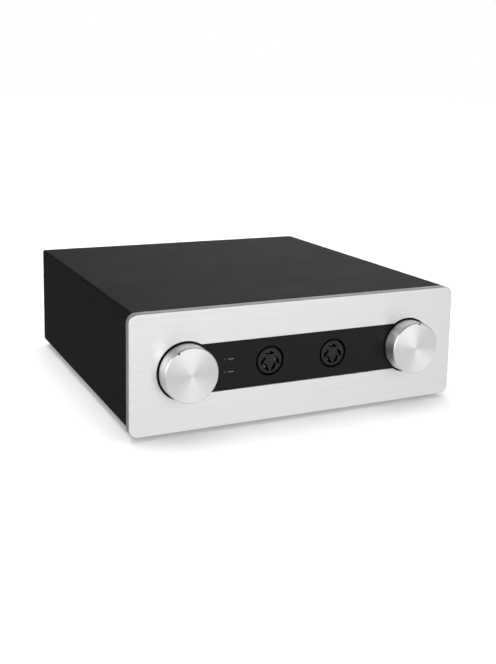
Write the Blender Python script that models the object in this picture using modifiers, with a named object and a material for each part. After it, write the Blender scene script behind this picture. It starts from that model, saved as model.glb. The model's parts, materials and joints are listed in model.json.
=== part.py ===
"""Desktop headphone amplifier with a thick aluminium front panel and a folded steel case.

Axes: +X to the listener's right, +Y to the rear, +Z up, in metres. The origin is on the surface
that the feet stand on, under the middle of the whole outline. Depths are measured backwards from
the front panel's face, and the function at() turns them into places.
"""

import math

import bmesh
import bpy
from mathutils import Vector

MM = 0.001
GAP = 0.3 * MM  # air left between pieces that touch on the real object

# Front panel
PANEL_WIDTH = 256 * MM
PANEL_HEIGHT = 83.8 * MM
PANEL_THICK = 6.3 * MM
PANEL_CORNER = 6.5 * MM
PANEL_BOTTOM = 3 * MM  # height of its lower edge above the table
AXIS_RISE = 42.2 * MM  # from the panel's lower edge to the knobs and the headphone sockets
AXIS_Z = PANEL_BOTTOM + AXIS_RISE

# Controls on the front
CONTROL_X = 88.5 * MM
KNOB_RADIUS = 19.1 * MM
KNOB_REACH = 12 * MM
KNOB_STANDOFF = 0.4 * MM
KNOB_HUB_RADIUS = 7 * MM
POINTER_TURN = {"selector": math.radians(-30), "volume": math.radians(8)}  # clockwise from the top
SHAFT_RADIUS = 3 * MM
SHAFT_BORE = 3.3 * MM
SHAFT_BEHIND = 17.6 * MM  # its length behind the panel's face
BUSHING_RADIUS = 4.5 * MM
WELL_RADIUS = 20.5 * MM  # the round ends of the panel's cut-out, around the knobs
BAND_HEIGHT = 34.3 * MM
WINDOW_RECESS = 0.8 * MM
SOCKET_X = 25.2 * MM
SOCKET_WELL = 10.5 * MM
SOCKET_RADIUS = 9.5 * MM
LED_X = -59.5 * MM
LED_RISE = 4.5 * MM
LED_RADIUS = 0.75 * MM

# Case
CASE_WIDTH = 249.8 * MM
CASE_TOP = PANEL_BOTTOM + 83.7 * MM
CASE_BOTTOM = PANEL_BOTTOM + 1.8 * MM
CASE_DEPTH = 256 * MM  # from the panel's face to the cover's rear edge
COVER_SHEET = 1.5 * MM
COVER_BEND = 2 * MM
COVER_LIP = 14 * MM
FRAME_SHEET = 2 * MM
TRAY_WALL = 12.6 * MM

# Depths behind the panel's face
SUB_FRONT_DEPTH = PANEL_THICK + GAP
FRAME_DEPTH = SUB_FRONT_DEPTH + FRAME_SHEET + GAP
REAR_FACE = CASE_DEPTH - 2 * MM
PHONO_REACH = 12 * MM
PANEL_FACE_Y = (KNOB_REACH - REAR_FACE - PHONO_REACH) / 2

# Heights inside
TRAY_BOTTOM = CASE_BOTTOM + COVER_SHEET + GAP
TRAY_TOP = TRAY_BOTTOM + FRAME_SHEET
PLATE_TOP = CASE_TOP - COVER_SHEET - GAP
BOARD_BOTTOM = TRAY_TOP + 7.6 * MM
BOARD_THICK = 1.6 * MM
BOARD_TOP = BOARD_BOTTOM + BOARD_THICK

# Underside
FOOT_X = 94 * MM
FOOT_DEPTHS = {"front": 36 * MM, "rear": 222 * MM}
FOOT_RADIUS = 12 * MM
FOOT_SCREW_RADIUS = 2 * MM
COVER_SCREW_X = 116.5 * MM
COVER_SCREW_DEPTHS = {"front": 30 * MM, "rear": 228 * MM}
COVER_SCREW_RADIUS = 1.5 * MM
SIDES = {"left": -1, "right": 1}

# Rear connectors, as x and height
INLET_AT = (-84 * MM, 46 * MM)
SWITCH_AT = (-38 * MM, 46 * MM)
BALANCED_AT = {"left": (46 * MM, 46 * MM), "right": (12 * MM, 46 * MM)}
PHONO_AT = {
    "line_input_left": (76 * MM, 56 * MM),
    "line_input_right": (76 * MM, 36 * MM),
    "line_output_left": (100 * MM, 56 * MM),
    "line_output_right": (100 * MM, 36 * MM),
}
BALANCED_RADIUS = 11.6 * MM
LATCH_WIDTH = 7.6 * MM
LATCH_HEIGHT = 3.4 * MM
LATCH_RISE = 12.6 * MM
INLET_DEEP = 25.5 * MM  # how far each connector reaches in behind the rear panel's face
SWITCH_DEEP = 21 * MM
ROCKER_PIN_REACH = 0.5 * MM
ROCKER_REST_TILT = math.radians(9)

# Power supply and amplifier
COIL_AT = (-66 * MM, 169 * MM)  # x and depth
COIL_INNER = 14 * MM
COIL_OUTER = 45 * MM
COIL_HEIGHT = 42 * MM
CAPACITOR_RADIUS = 11 * MM
CAPACITOR_HEIGHT = 40 * MM
POWER_BOARD = (-114 * MM, -14 * MM, 42 * MM, 116 * MM)  # x from, x to, depth from, depth to
AMP_BOARD = (0 * MM, 114 * MM, 46 * MM, 222 * MM)
STUD_INSET = 6 * MM
HEADER_HEIGHT = 9 * MM
HEADER_TOP = BOARD_TOP + HEADER_HEIGHT

SHARP_ANGLE = math.radians(30)  # faces that meet at more than this keep a crisp edge

FACING_UP = (0, 0, 0)
FACING_FRONT = (math.pi / 2, 0, 0)  # a shape's own +Z points at the listener
FACING_REAR = (math.pi / 2, 0, math.pi)  # a shape's own +Z points backwards


# ---------------------------------------------------------------- scene and materials


def clear_scene():
    for obj in list(bpy.data.objects):
        bpy.data.objects.remove(obj)


def new_collection(name):
    collection = bpy.data.collections.new(name)
    bpy.context.scene.collection.children.link(collection)
    return collection


def make_material(name, colour, roughness, metallic=0.0):
    made = bpy.data.materials.new(name)
    made.use_nodes = True
    shader = made.node_tree.nodes["Principled BSDF"]
    shader.inputs["Base Color"].default_value = (*colour, 1)
    shader.inputs["Roughness"].default_value = roughness
    shader.inputs["Metallic"].default_value = metallic
    return made


def at(x, depth, z):
    """A place given by its depth behind the front panel's face."""
    return Vector((x, PANEL_FACE_Y + depth, z))


def place(obj, material, location, facing=FACING_UP):
    obj.location = location
    obj.rotation_euler = facing
    if material is not None:
        obj.data.materials.append(material)
    parts.objects.link(obj)
    return obj


def as_cutter(obj):
    """Moves a shape to the cutters, which are not part of the object."""
    parts.objects.unlink(obj)
    cutters.objects.link(obj)
    obj.hide_render = True
    obj.display_type = "WIRE"
    return obj


# ---------------------------------------------------------------- outlines


def arc(centre, radius, start, end, steps):
    """Points on an arc, with its angles in degrees."""
    angles = [math.radians(start + (end - start) * i / steps) for i in range(steps + 1)]
    return [(centre[0] + radius * math.cos(a), centre[1] + radius * math.sin(a)) for a in angles]


def circle(centre, radius, steps):
    return arc(centre, radius, 0, 360, steps)[:-1]


def rounded_box(width, height, radius, steps=6, centre=(0, 0)):
    outline = []
    for turn, (sx, sy) in enumerate(((1, 1), (-1, 1), (-1, -1), (1, -1))):
        corner = (centre[0] + sx * (width / 2 - radius), centre[1] + sy * (height / 2 - radius))
        outline += arc(corner, radius, 90 * turn, 90 * turn + 90, steps)
    return outline


def capsule(length, width, centre, turn, steps=6):
    """A slot with round ends, turned by an angle in degrees."""
    half = (length - width) / 2
    c, s = math.cos(math.radians(turn)), math.sin(math.radians(turn))
    ends = arc((half, 0), width / 2, -90, 90, steps) + arc((-half, 0), width / 2, 90, 270, steps)
    return [(centre[0] + x * c - y * s, centre[1] + x * s + y * c) for x, y in ends]


def dumbbell(half_span, radius, height, steps=24):
    """Two round ends joined by a straight band, as cut in the front panel."""
    join = math.degrees(math.asin(height / 2 / radius))
    right = arc((half_span, 0), radius, join - 180, 180 - join, steps)
    left = arc((-half_span, 0), radius, join, 360 - join, steps)
    return right + left


# ---------------------------------------------------------------- shapes


def plate(name, outlines, thickness, material, location, facing=FACING_UP):
    """A flat piece of any outline: the first is its edge, and the rest are holes.

    Its own +Z face is at the location, and its thickness goes below that.
    """
    curve = bpy.data.curves.new(name, "CURVE")
    curve.dimensions = "2D"
    curve.fill_mode = "BOTH"
    curve.extrude = thickness / 2
    for outline in outlines:
        spline = curve.splines.new("POLY")
        spline.points.add(len(outline) - 1)
        for point, (x, y) in zip(spline.points, outline):
            point.co = (x, y, 0, 1)
        spline.use_cyclic_u = True
    obj = place(bpy.data.objects.new(name, curve), material, location, facing)
    bpy.context.view_layer.update()
    obj.location = obj.matrix_world @ Vector((0, 0, -thickness / 2))
    return obj


def meshed(obj):
    """A curve object made a mesh with its caps welded, so that it can be cut and joined."""
    bpy.context.view_layer.update()
    evaluated = obj.evaluated_get(bpy.context.evaluated_depsgraph_get())
    mesh = bpy.data.meshes.new_from_object(evaluated)
    shape = bmesh.new()
    shape.from_mesh(mesh)
    bmesh.ops.remove_doubles(shape, verts=shape.verts, dist=0.001 * MM)
    bmesh.ops.recalc_face_normals(shape, faces=shape.faces)
    shape.to_mesh(mesh)
    shape.free()
    name, matrix = obj.name, obj.matrix_world.copy()
    bpy.data.objects.remove(obj)
    made = bpy.data.objects.new(name, mesh)
    made.matrix_world = matrix
    parts.objects.link(made)
    return made


def prism(name, outlines, thickness, material, location, facing=FACING_UP):
    """A plate that is a mesh from the start."""
    return meshed(plate(name, outlines, thickness, material, location, facing))


def block(name, size, material, location, facing=FACING_UP, bevel=0.0):
    """A box about its centre."""
    mesh = bpy.data.meshes.new(name)
    shape = bmesh.new()
    bmesh.ops.create_cube(shape, size=1)
    bmesh.ops.scale(shape, vec=size, verts=shape.verts)
    shape.to_mesh(mesh)
    shape.free()
    obj = place(bpy.data.objects.new(name, mesh), material, location, facing)
    if bevel:
        rounding = obj.modifiers.new("Edges", "BEVEL")
        rounding.width = bevel
        rounding.segments = 1
    return obj


def turned(name, profile, material, location, facing=FACING_UP, steps=32, closed=False):
    """A lathe shape: radius and height pairs, going down the outer side, turned about its own Z."""
    mesh = bpy.data.meshes.new(name)
    links = [(i, i + 1) for i in range(len(profile) - 1)]
    if closed:
        links.append((len(profile) - 1, 0))
    mesh.from_pydata([(radius, 0, height) for radius, height in profile], links, [])
    obj = place(bpy.data.objects.new(name, mesh), material, location, facing)
    lathe = obj.modifiers.new("Lathe", "SCREW")
    lathe.axis = "Z"
    lathe.steps = lathe.render_steps = steps
    lathe.use_merge_vertices = True
    lathe.merge_threshold = 0.005 * MM
    return obj


def combine(obj, operation, other):
    """Joins another mesh to this one, or cuts it away."""
    modifier = obj.modifiers.new(operation.title(), "BOOLEAN")
    modifier.operation = operation
    modifier.object = as_cutter(other)
    return obj


def shade(obj):
    """Settles a shape as its modifiers make it, and shades its curved faces smooth."""
    evaluated = obj.evaluated_get(bpy.context.evaluated_depsgraph_get())
    mesh = bpy.data.meshes.new_from_object(evaluated)
    obj.modifiers.clear()
    obj.data = mesh
    mesh.shade_smooth()
    mesh.set_sharp_from_angle(angle=SHARP_ANGLE)


def smooth_route(points, leaves, arrives, spacing):
    """A curve through the points. It leaves the first and comes down on the last square on."""
    slopes = [leaves * (points[1] - points[0]).length]
    slopes += [(after - before) / 2 for before, after in zip(points, points[2:])]
    slopes.append(-arrives * (points[-1] - points[-2]).length)
    route = []
    for a, b, slope_a, slope_b in zip(points, points[1:], slopes, slopes[1:]):
        count = max(2, round((b - a).length / spacing))
        for i in range(count):
            t = i / count
            route.append(
                a * (2 * t**3 - 3 * t**2 + 1)
                + slope_a * (t**3 - 2 * t**2 + t)
                + b * (3 * t**2 - 2 * t**3)
                + slope_b * (t**3 - t**2)
            )
    return [*route, points[-1]]


def cable(name, route, radius, material):
    """A round lead along a route."""
    curve = bpy.data.curves.new(name, "CURVE")
    curve.dimensions = "3D"
    curve.bevel_depth = radius
    curve.bevel_resolution = 2
    curve.use_fill_caps = True
    spline = curve.splines.new("POLY")
    spline.points.add(len(route) - 1)
    for point, co in zip(spline.points, route):
        point.co = (*co, 1)
    return place(bpy.data.objects.new(name, curve), material, (0, 0, 0))


# ---------------------------------------------------------------- front


def add_front_panel():
    middle = (0, PANEL_HEIGHT / 2 - AXIS_RISE)
    edge = rounded_box(PANEL_WIDTH, PANEL_HEIGHT, PANEL_CORNER, centre=middle)
    opening = dumbbell(CONTROL_X, WELL_RADIUS, BAND_HEIGHT)
    centre = at(0, 0, AXIS_Z)
    plate("front_panel", [edge, opening], PANEL_THICK, brushed_aluminium, centre, FACING_FRONT)


def add_front_window():
    """The black insert that fills the panel's cut-out, a little below its face."""
    edge = dumbbell(CONTROL_X, WELL_RADIUS - GAP, BAND_HEIGHT - 2 * GAP)
    nut_hole_radius = 9 * MM
    holes = [circle((side * CONTROL_X, 0), nut_hole_radius, 24) for side in (-1, 1)]
    holes += [circle((side * SOCKET_X, 0), SOCKET_WELL, 32) for side in (-1, 1)]
    holes += [circle((LED_X, side * LED_RISE), LED_RADIUS + GAP / 2, 12) for side in (-1, 1)]
    centre = at(0, WINDOW_RECESS, AXIS_Z)
    thickness = PANEL_THICK - WINDOW_RECESS
    plate("front_window", [edge, *holes], thickness, black_acrylic, centre, FACING_FRONT)


def add_sub_front():
    """The steel plate behind the panel that carries the controls and sockets."""
    width = CASE_WIDTH - 2 * COVER_SHEET - 2 * GAP
    height = PLATE_TOP - TRAY_BOTTOM
    centre_z = (PLATE_TOP + TRAY_BOTTOM) / 2
    drop = AXIS_Z - centre_z
    edge = rounded_box(width, height, 2 * MM, steps=3)
    holes = [circle((side * CONTROL_X, drop), BUSHING_RADIUS + GAP, 24) for side in (-1, 1)]
    holes += [circle((side * SOCKET_X, drop), SOCKET_RADIUS + GAP, 32) for side in (-1, 1)]
    holes += [circle((LED_X, drop + side * LED_RISE), LED_RADIUS + GAP, 12) for side in (-1, 1)]
    centre = at(0, SUB_FRONT_DEPTH, centre_z)
    plate("sub_front", [edge, *holes], FRAME_SHEET, zinc_steel, centre, FACING_FRONT)


def add_knob(name, x):
    """A turned knob, hollowed behind, with a pointer notch in its rim and a grub screw below."""
    back = KNOB_STANDOFF
    chamfer = 0.5 * MM
    skirt = KNOB_RADIUS - 2 * MM
    hollow = back + 3.2 * MM
    bore_end = 9 * MM
    bore = SHAFT_RADIUS + 0.2 * MM
    profile = [
        (0, KNOB_REACH),
        (KNOB_RADIUS - chamfer, KNOB_REACH),
        (KNOB_RADIUS, KNOB_REACH - chamfer),
        (KNOB_RADIUS, back),
        (skirt, back),
        (skirt, hollow),
        (KNOB_HUB_RADIUS, hollow),
        (KNOB_HUB_RADIUS, back),
        (bore, back),
        (bore, bore_end),
        (0, bore_end),
    ]
    knob = turned(f"{name}_knob", profile, spun_aluminium, at(x, 0, AXIS_Z), FACING_FRONT, 40)
    grub_radius, grub_length, grub_depth = 1.5 * MM, 7 * MM, 6.4 * MM
    hole_length = KNOB_RADIUS - bore + 2 * MM
    hole_profile = [
        (0, 0),
        (grub_radius + 0.2 * MM, 0),
        (grub_radius + 0.2 * MM, -hole_length),
        (0, -hole_length),
    ]
    below_bore = at(x, -grub_depth, AXIS_Z - bore + 0.5 * MM)
    combine(knob, "DIFFERENCE", turned(f"{name}_grub_hole", hole_profile, None, below_bore, steps=12))
    turn = POINTER_TURN[name]
    notch_width, notch_length, notch_deep = 1.8 * MM, 1.6 * MM, 0.8 * MM
    rim = at(x, -KNOB_REACH, AXIS_Z) + KNOB_RADIUS * Vector((math.sin(turn), 0, math.cos(turn)))
    notch_size = (notch_width, 2 * notch_length, 2 * notch_deep)
    combine(knob, "DIFFERENCE", block(f"{name}_pointer", notch_size, None, rim, (0, turn, 0)))
    socket_radius, socket_deep = 0.8 * MM, 2 * MM
    grub_profile = [
        (0, 0),
        (grub_radius, 0),
        (grub_radius, -grub_length),
        (socket_radius, -grub_length),
        (socket_radius, -grub_length + socket_deep),
        (0, -grub_length + socket_deep),
    ]
    under_shaft = at(x, -grub_depth, AXIS_Z - bore - 0.1 * MM)
    turned(f"{name}_grub_screw", grub_profile, black_steel, under_shaft, steps=12)


def add_shaft(name, x):
    tip, chamfer = 8.6 * MM, 0.5 * MM
    profile = [
        (0, tip),
        (SHAFT_RADIUS - chamfer, tip),
        (SHAFT_RADIUS, tip - chamfer),
        (SHAFT_RADIUS, -SHAFT_BEHIND),
        (0, -SHAFT_BEHIND),
    ]
    turned(f"{name}_shaft", profile, bright_steel, at(x, 0, AXIS_Z), FACING_FRONT, 24)


def add_nut(name, x):
    """The hexagon nut that clamps a control to the sub-front."""
    hexagon = circle((0, 0), 6.9 * MM, 6)
    thickness = 2.2 * MM
    depth = SUB_FRONT_DEPTH - GAP - thickness
    hole = circle((0, 0), BUSHING_RADIUS + 0.15 * MM, 24)
    plate(f"{name}_nut", [hexagon, hole], thickness, bright_steel, at(x, depth, AXIS_Z), FACING_FRONT)


def control_profile(body_radius, body_end):
    """Bushing, bore and round body of a rotary control, as depths below the panel's face."""
    bushing_top = 3.4 * MM
    bore_end = 18 * MM
    return [
        (0, -bore_end),
        (SHAFT_BORE, -bore_end),
        (SHAFT_BORE, -bushing_top),
        (BUSHING_RADIUS, -bushing_top),
        (BUSHING_RADIUS, -FRAME_DEPTH),
        (body_radius, -FRAME_DEPTH),
        (body_radius, -body_end),
        (0, -body_end),
    ]


def add_selector_switch():
    """A rotary switch: a round detent body with a square wafer behind it."""
    profile = control_profile(13 * MM, 24 * MM)
    centre = at(-CONTROL_X, 0, AXIS_Z)
    switch = turned("selector_switch", profile, black_plastic, centre, FACING_FRONT, 32)
    wafer = block(
        "selector_wafer",
        (32 * MM, 32 * MM, 10 * MM),
        None,
        at(-CONTROL_X, 28 * MM, AXIS_Z),
        FACING_FRONT,
    )
    combine(switch, "UNION", wafer)


def add_volume_attenuator():
    """A stepped attenuator: a round indexer ahead of a square resistor stack."""
    profile = control_profile(12 * MM, 20 * MM)
    centre = at(CONTROL_X, 0, AXIS_Z)
    attenuator = turned("volume_attenuator", profile, black_plastic, centre, FACING_FRONT, 32)
    stack = block(
        "attenuator_stack",
        (34 * MM, 34 * MM, 20 * MM),
        None,
        at(CONTROL_X, 28.9 * MM, AXIS_Z),
        FACING_FRONT,
        bevel=1 * MM,
    )
    combine(attenuator, "UNION", stack)


def add_headphone_socket(side, x):
    """A five-pole socket. The slots are at 90, 0, 180, 240 and 300 degrees, and lean inwards."""
    body_end = 25 * MM
    flange_radius, flange_end = 13 * MM, FRAME_DEPTH + 2.5 * MM
    body_radius = 10 * MM
    profile = [
        (0, -WINDOW_RECESS),
        (SOCKET_RADIUS, -WINDOW_RECESS),
        (SOCKET_RADIUS, -FRAME_DEPTH),
        (flange_radius, -FRAME_DEPTH),
        (flange_radius, -flange_end),
        (body_radius, -flange_end),
        (body_radius, -body_end),
        (0, -body_end),
    ]
    centre = at(x, 0, AXIS_Z)
    socket = turned(f"headphone_socket_{side}", profile, black_plastic, centre, FACING_FRONT, 32)
    ring, length, width, deep = 5.2 * MM, 5 * MM, 1.5 * MM, 12 * MM
    slots = []
    for place_angle, lean in ((90, 0), (0, 120), (180, 60), (240, 120), (300, 60)):
        angle = math.radians(place_angle)
        middle = (ring * math.cos(angle), ring * math.sin(angle))
        slots.append(capsule(length, width, middle, lean, steps=3))
    mouth = at(x, WINDOW_RECESS - 1 * MM, AXIS_Z)
    combine(socket, "DIFFERENCE", prism(f"socket_slots_{side}", slots, deep, None, mouth, FACING_FRONT))


def add_socket_board():
    """The small circuit board that both headphone sockets are soldered to."""
    depth = 25 * MM + GAP
    board = rounded_box(78 * MM, 30 * MM, 2 * MM, steps=3)
    centre = at(0, depth, AXIS_Z)
    plate("socket_board", [board], BOARD_THICK, green_laminate, centre, FACING_FRONT)


def add_indicators():
    """Two light pipes and the board that their diodes sit on."""
    flange_radius, flange_end = 1.6 * MM, FRAME_DEPTH + 2.4 * MM
    profile = [
        (0, -WINDOW_RECESS),
        (LED_RADIUS, -WINDOW_RECESS),
        (LED_RADIUS, -FRAME_DEPTH),
        (flange_radius, -FRAME_DEPTH),
        (flange_radius, -flange_end),
        (0, -flange_end),
    ]
    for name, side in (("upper", 1), ("lower", -1)):
        centre = at(LED_X, 0, AXIS_Z + side * LED_RISE)
        turned(f"indicator_{name}", profile, clear_plastic, centre, FACING_FRONT, 12)
    board = rounded_box(14 * MM, 24 * MM, 1 * MM, steps=2)
    centre = at(LED_X, flange_end + GAP, AXIS_Z)
    plate("indicator_board", [board], BOARD_THICK, green_laminate, centre, FACING_FRONT)


# ---------------------------------------------------------------- case


def add_top_cover():
    """One folded sheet: top, both sides and a lip turned in under each side."""
    left, right = -CASE_WIDTH / 2, CASE_WIDTH / 2
    bend = COVER_BEND
    path = [(left + COVER_LIP, CASE_BOTTOM)]
    path += arc((left + bend, CASE_BOTTOM + bend), bend, 270, 180, 4)
    path += arc((left + bend, CASE_TOP - bend), bend, 180, 90, 4)
    path += arc((right - bend, CASE_TOP - bend), bend, 90, 0, 4)
    path += arc((right - bend, CASE_BOTTOM + bend), bend, 0, -90, 4)
    path += [(right - COVER_LIP, CASE_BOTTOM)]
    mesh = bpy.data.meshes.new("top_cover")
    shape = bmesh.new()
    start = at(0, PANEL_THICK + GAP, 0).y
    points = [shape.verts.new((x, start, z)) for x, z in path]
    edges = [shape.edges.new(pair) for pair in zip(points, points[1:])]
    swept = bmesh.ops.extrude_edge_only(shape, edges=edges)["geom"]
    moved = [part for part in swept if isinstance(part, bmesh.types.BMVert)]
    bmesh.ops.translate(shape, vec=(0, CASE_DEPTH - PANEL_THICK - GAP, 0), verts=moved)
    shape.to_mesh(mesh)
    shape.free()
    cover = place(bpy.data.objects.new("top_cover", mesh), black_paint, (0, 0, 0))
    sheet = cover.modifiers.new("Sheet", "SOLIDIFY")
    sheet.thickness = COVER_SHEET
    sheet.offset = 1
    sheet.use_even_offset = True
    holes = [circle(spot, COVER_SCREW_RADIUS + 0.2 * MM, 12) for spot in cover_screw_spots()]
    above_lip = Vector((0, 0, CASE_BOTTOM + COVER_SHEET + 1 * MM))
    combine(cover, "DIFFERENCE", prism("cover_holes", holes, 4 * MM, None, above_lip))


def cover_screw_spots():
    depths = COVER_SCREW_DEPTHS.values()
    return [(s * COVER_SCREW_X, at(0, d, 0).y) for s in SIDES.values() for d in depths]


def foot_spots():
    return [(s * FOOT_X, at(0, d, 0).y) for s in SIDES.values() for d in FOOT_DEPTHS.values()]


def board_stud_spots():
    spots = []
    for x0, x1, d0, d1 in (POWER_BOARD, AMP_BOARD):
        for x in (x0 + STUD_INSET, x1 - STUD_INSET):
            spots += [(x, at(0, d, 0).y) for d in (d0 + STUD_INSET, d1 - STUD_INSET)]
    return spots


def add_chassis_base():
    """A shallow open tray with vents, screw holes and pressed-in board studs."""
    width = CASE_WIDTH - 2 * COVER_SHEET - 4 * GAP
    length = REAR_FACE - FRAME_SHEET - GAP - FRAME_DEPTH
    middle = at(0, FRAME_DEPTH + length / 2, TRAY_BOTTOM + TRAY_WALL / 2)
    tray = block("chassis_base", (width, length, TRAY_WALL), zinc_steel, middle)
    shape = bmesh.new()
    shape.from_mesh(tray.data)
    lid = [face for face in shape.faces if face.normal.z > 0.5]
    bmesh.ops.delete(shape, geom=lid, context="FACES_ONLY")
    shape.to_mesh(tray.data)
    shape.free()
    sheet = tray.modifiers.new("Sheet", "SOLIDIFY")
    sheet.thickness = FRAME_SHEET
    sheet.offset = -1
    sheet.use_even_offset = True

    studs = [circle(spot, 3 * MM, 12) for spot in board_stud_spots()]
    stud_top = Vector((0, 0, BOARD_BOTTOM - GAP))
    stud_height = BOARD_BOTTOM - GAP - TRAY_TOP + 1 * MM
    combine(tray, "UNION", prism("board_studs", studs, stud_height, None, stud_top))

    holes = [circle(spot, FOOT_SCREW_RADIUS + 0.25 * MM, 12) for spot in foot_spots()]
    holes += [circle(spot, COVER_SCREW_RADIUS + 0.2 * MM, 12) for spot in cover_screw_spots()]
    holes.append(circle((COIL_AT[0], at(0, COIL_AT[1], 0).y), 3.3 * MM, 12))
    vent_length, vent_width, vent_pitch, vents_in_row = 40 * MM, 3 * MM, 11 * MM, 5
    for first_depth in (73 * MM, 157 * MM):
        for i in range(vents_in_row):
            centre = (57 * MM, at(0, first_depth + i * vent_pitch, 0).y)
            holes.append(capsule(vent_length, vent_width, centre, 0, steps=2))
    above_floor = Vector((0, 0, TRAY_TOP + 1 * MM))
    combine(tray, "DIFFERENCE", prism("base_holes", holes, 6 * MM, None, above_floor))


def add_feet():
    top = TRAY_BOTTOM - GAP
    head_radius, head_deep = 4.2 * MM, 3 * MM
    profile = [
        (FOOT_SCREW_RADIUS + 0.3 * MM, top),
        (FOOT_RADIUS, top),
        (FOOT_RADIUS, 1.2 * MM),
        (FOOT_RADIUS - 1.2 * MM, 0),
        (head_radius + 0.3 * MM, 0),
        (head_radius + 0.3 * MM, head_deep),
        (FOOT_SCREW_RADIUS + 0.3 * MM, head_deep),
    ]
    head_top, head_bottom, recess = head_deep - GAP, 0.6 * MM, 1.2 * MM
    screw_profile = [
        (0, TRAY_TOP + 1 * MM),
        (FOOT_SCREW_RADIUS, TRAY_TOP + 1 * MM),
        (FOOT_SCREW_RADIUS, head_top),
        (head_radius, head_top),
        (head_radius, head_bottom),
        (recess, head_bottom),
        (recess, head_bottom + 1.2 * MM),
        (0, head_bottom + 1.2 * MM),
    ]
    for side, sign in SIDES.items():
        for end, depth in FOOT_DEPTHS.items():
            spot = at(sign * FOOT_X, depth, 0)
            turned(f"foot_{end}_{side}", profile, black_rubber, spot, steps=20, closed=True)
            turned(f"foot_screw_{end}_{side}", screw_profile, bright_steel, spot, steps=12)


def add_cover_screws():
    """Low-headed screws up through the cover's lips into the base."""
    head_radius, head_top, head_low = 2.8 * MM, CASE_BOTTOM - 0.1 * MM, CASE_BOTTOM - 1.7 * MM
    recess, recess_deep = 0.9 * MM, 0.9 * MM
    profile = [
        (0, TRAY_TOP + 1 * MM),
        (COVER_SCREW_RADIUS, TRAY_TOP + 1 * MM),
        (COVER_SCREW_RADIUS, head_top),
        (head_radius, head_top),
        (head_radius - 0.8 * MM, head_low),
        (recess, head_low),
        (recess, head_low + recess_deep),
        (0, head_low + recess_deep),
    ]
    for side, sign in SIDES.items():
        for end, depth in COVER_SCREW_DEPTHS.items():
            spot = at(sign * COVER_SCREW_X, depth, 0)
            turned(f"cover_screw_{end}_{side}", profile, black_steel, spot, steps=12)


# ---------------------------------------------------------------- rear


def behind(spot, reach):
    """A place on the rear panel, a reach outwards from its face."""
    return at(spot[0], REAR_FACE + reach, spot[1])


def add_rear_panel():
    width = CASE_WIDTH - 2 * COVER_SHEET - 2 * GAP
    height = PLATE_TOP - TRAY_BOTTOM
    centre_z = (PLATE_TOP + TRAY_BOTTOM) / 2

    def local(spot):
        """A rear connector's centre, as seen by someone behind the case."""
        return (-spot[0], spot[1] - centre_z)

    edge = rounded_box(width, height, 2 * MM, steps=3)
    holes = [
        rounded_box(29 * MM, 31 * MM, 1 * MM, 2, local(INLET_AT)),
        rounded_box(19.6 * MM, 27.6 * MM, 1 * MM, 2, local(SWITCH_AT)),
    ]
    holes += [circle(local(spot), BALANCED_RADIUS + GAP, 24) for spot in BALANCED_AT.values()]
    holes += [circle(local(spot), 3.6 * MM, 16) for spot in PHONO_AT.values()]
    centre = at(0, REAR_FACE, centre_z)
    panel = prism("rear_panel", [edge, *holes], FRAME_SHEET, black_paint, centre, FACING_REAR)
    for side, spot in BALANCED_AT.items():
        notch = block(
            f"latch_notch_{side}",
            (LATCH_WIDTH + 2 * GAP, LATCH_HEIGHT + 2 * GAP, 12 * MM),
            None,
            behind((spot[0], spot[1] + LATCH_RISE), 0),
            FACING_REAR,
        )
        combine(panel, "DIFFERENCE", notch)


def add_mains_inlet():
    """A three-pin inlet above a drawer for the fuse, in one moulding."""
    flange = [
        rounded_box(50 * MM, 34 * MM, 4 * MM),
        circle((-20 * MM, 0), 1.7 * MM, 12),
        circle((20 * MM, 0), 1.7 * MM, 12),
    ]
    face = 3 * MM + GAP
    flange_face = behind(INLET_AT, face)
    inlet = prism("mains_inlet", flange, 3 * MM, black_plastic, flange_face, FACING_REAR)
    overlap = 1.5 * MM
    body = block(
        "inlet_body",
        (28.2 * MM, 30.2 * MM, INLET_DEEP + overlap),
        None,
        behind(INLET_AT, (overlap - INLET_DEEP) / 2),
        FACING_REAR,
    )
    combine(inlet, "UNION", body)
    mouth_deep, slot_deep = 16 * MM, 22 * MM
    cut = 3.5 * MM
    half_width, low, high = 12.2 * MM, -3.4 * MM, 13 * MM
    mouth = [
        (-half_width, low),
        (half_width, low),
        (half_width, high - cut),
        (half_width - cut, high),
        (cut - half_width, high),
        (-half_width, high - cut),
    ]
    outside = behind(INLET_AT, face + 1 * MM)
    combine(inlet, "DIFFERENCE", prism("inlet_mouth", [mouth], mouth_deep, None, outside, FACING_REAR))
    slot = rounded_box(21 * MM, 8 * MM, 0.5 * MM, 2, (0, -9.6 * MM))
    combine(inlet, "DIFFERENCE", prism("drawer_slot", [slot], slot_deep, None, outside, FACING_REAR))
    blades = [
        rounded_box(2 * MM, 4 * MM, 0.4 * MM, 2, spot)
        for spot in ((-7 * MM, 2.8 * MM), (7 * MM, 2.8 * MM), (0, 6.8 * MM))
    ]
    tip = behind(INLET_AT, face - 5.5 * MM)
    combine(inlet, "UNION", prism("inlet_blades", blades, 12 * MM, None, tip, FACING_REAR))


def add_fuse_drawer():
    size = (20.4 * MM, 7.4 * MM, 19 * MM)
    face = 3 * MM + GAP
    centre = behind((INLET_AT[0], INLET_AT[1] - 9.6 * MM), face - size[2] / 2)
    drawer = block("fuse_drawer", size, black_plastic, centre, FACING_REAR, bevel=0.4 * MM)
    grip_radius = 2.4 * MM
    edge = behind((INLET_AT[0], INLET_AT[1] - 7.2 * MM), face + 1 * MM)
    grip = prism("drawer_grip", [capsule(9 * MM, grip_radius, (0, 0), 0)], 2.5 * MM, None, edge, FACING_REAR)
    combine(drawer, "DIFFERENCE", grip)


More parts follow.
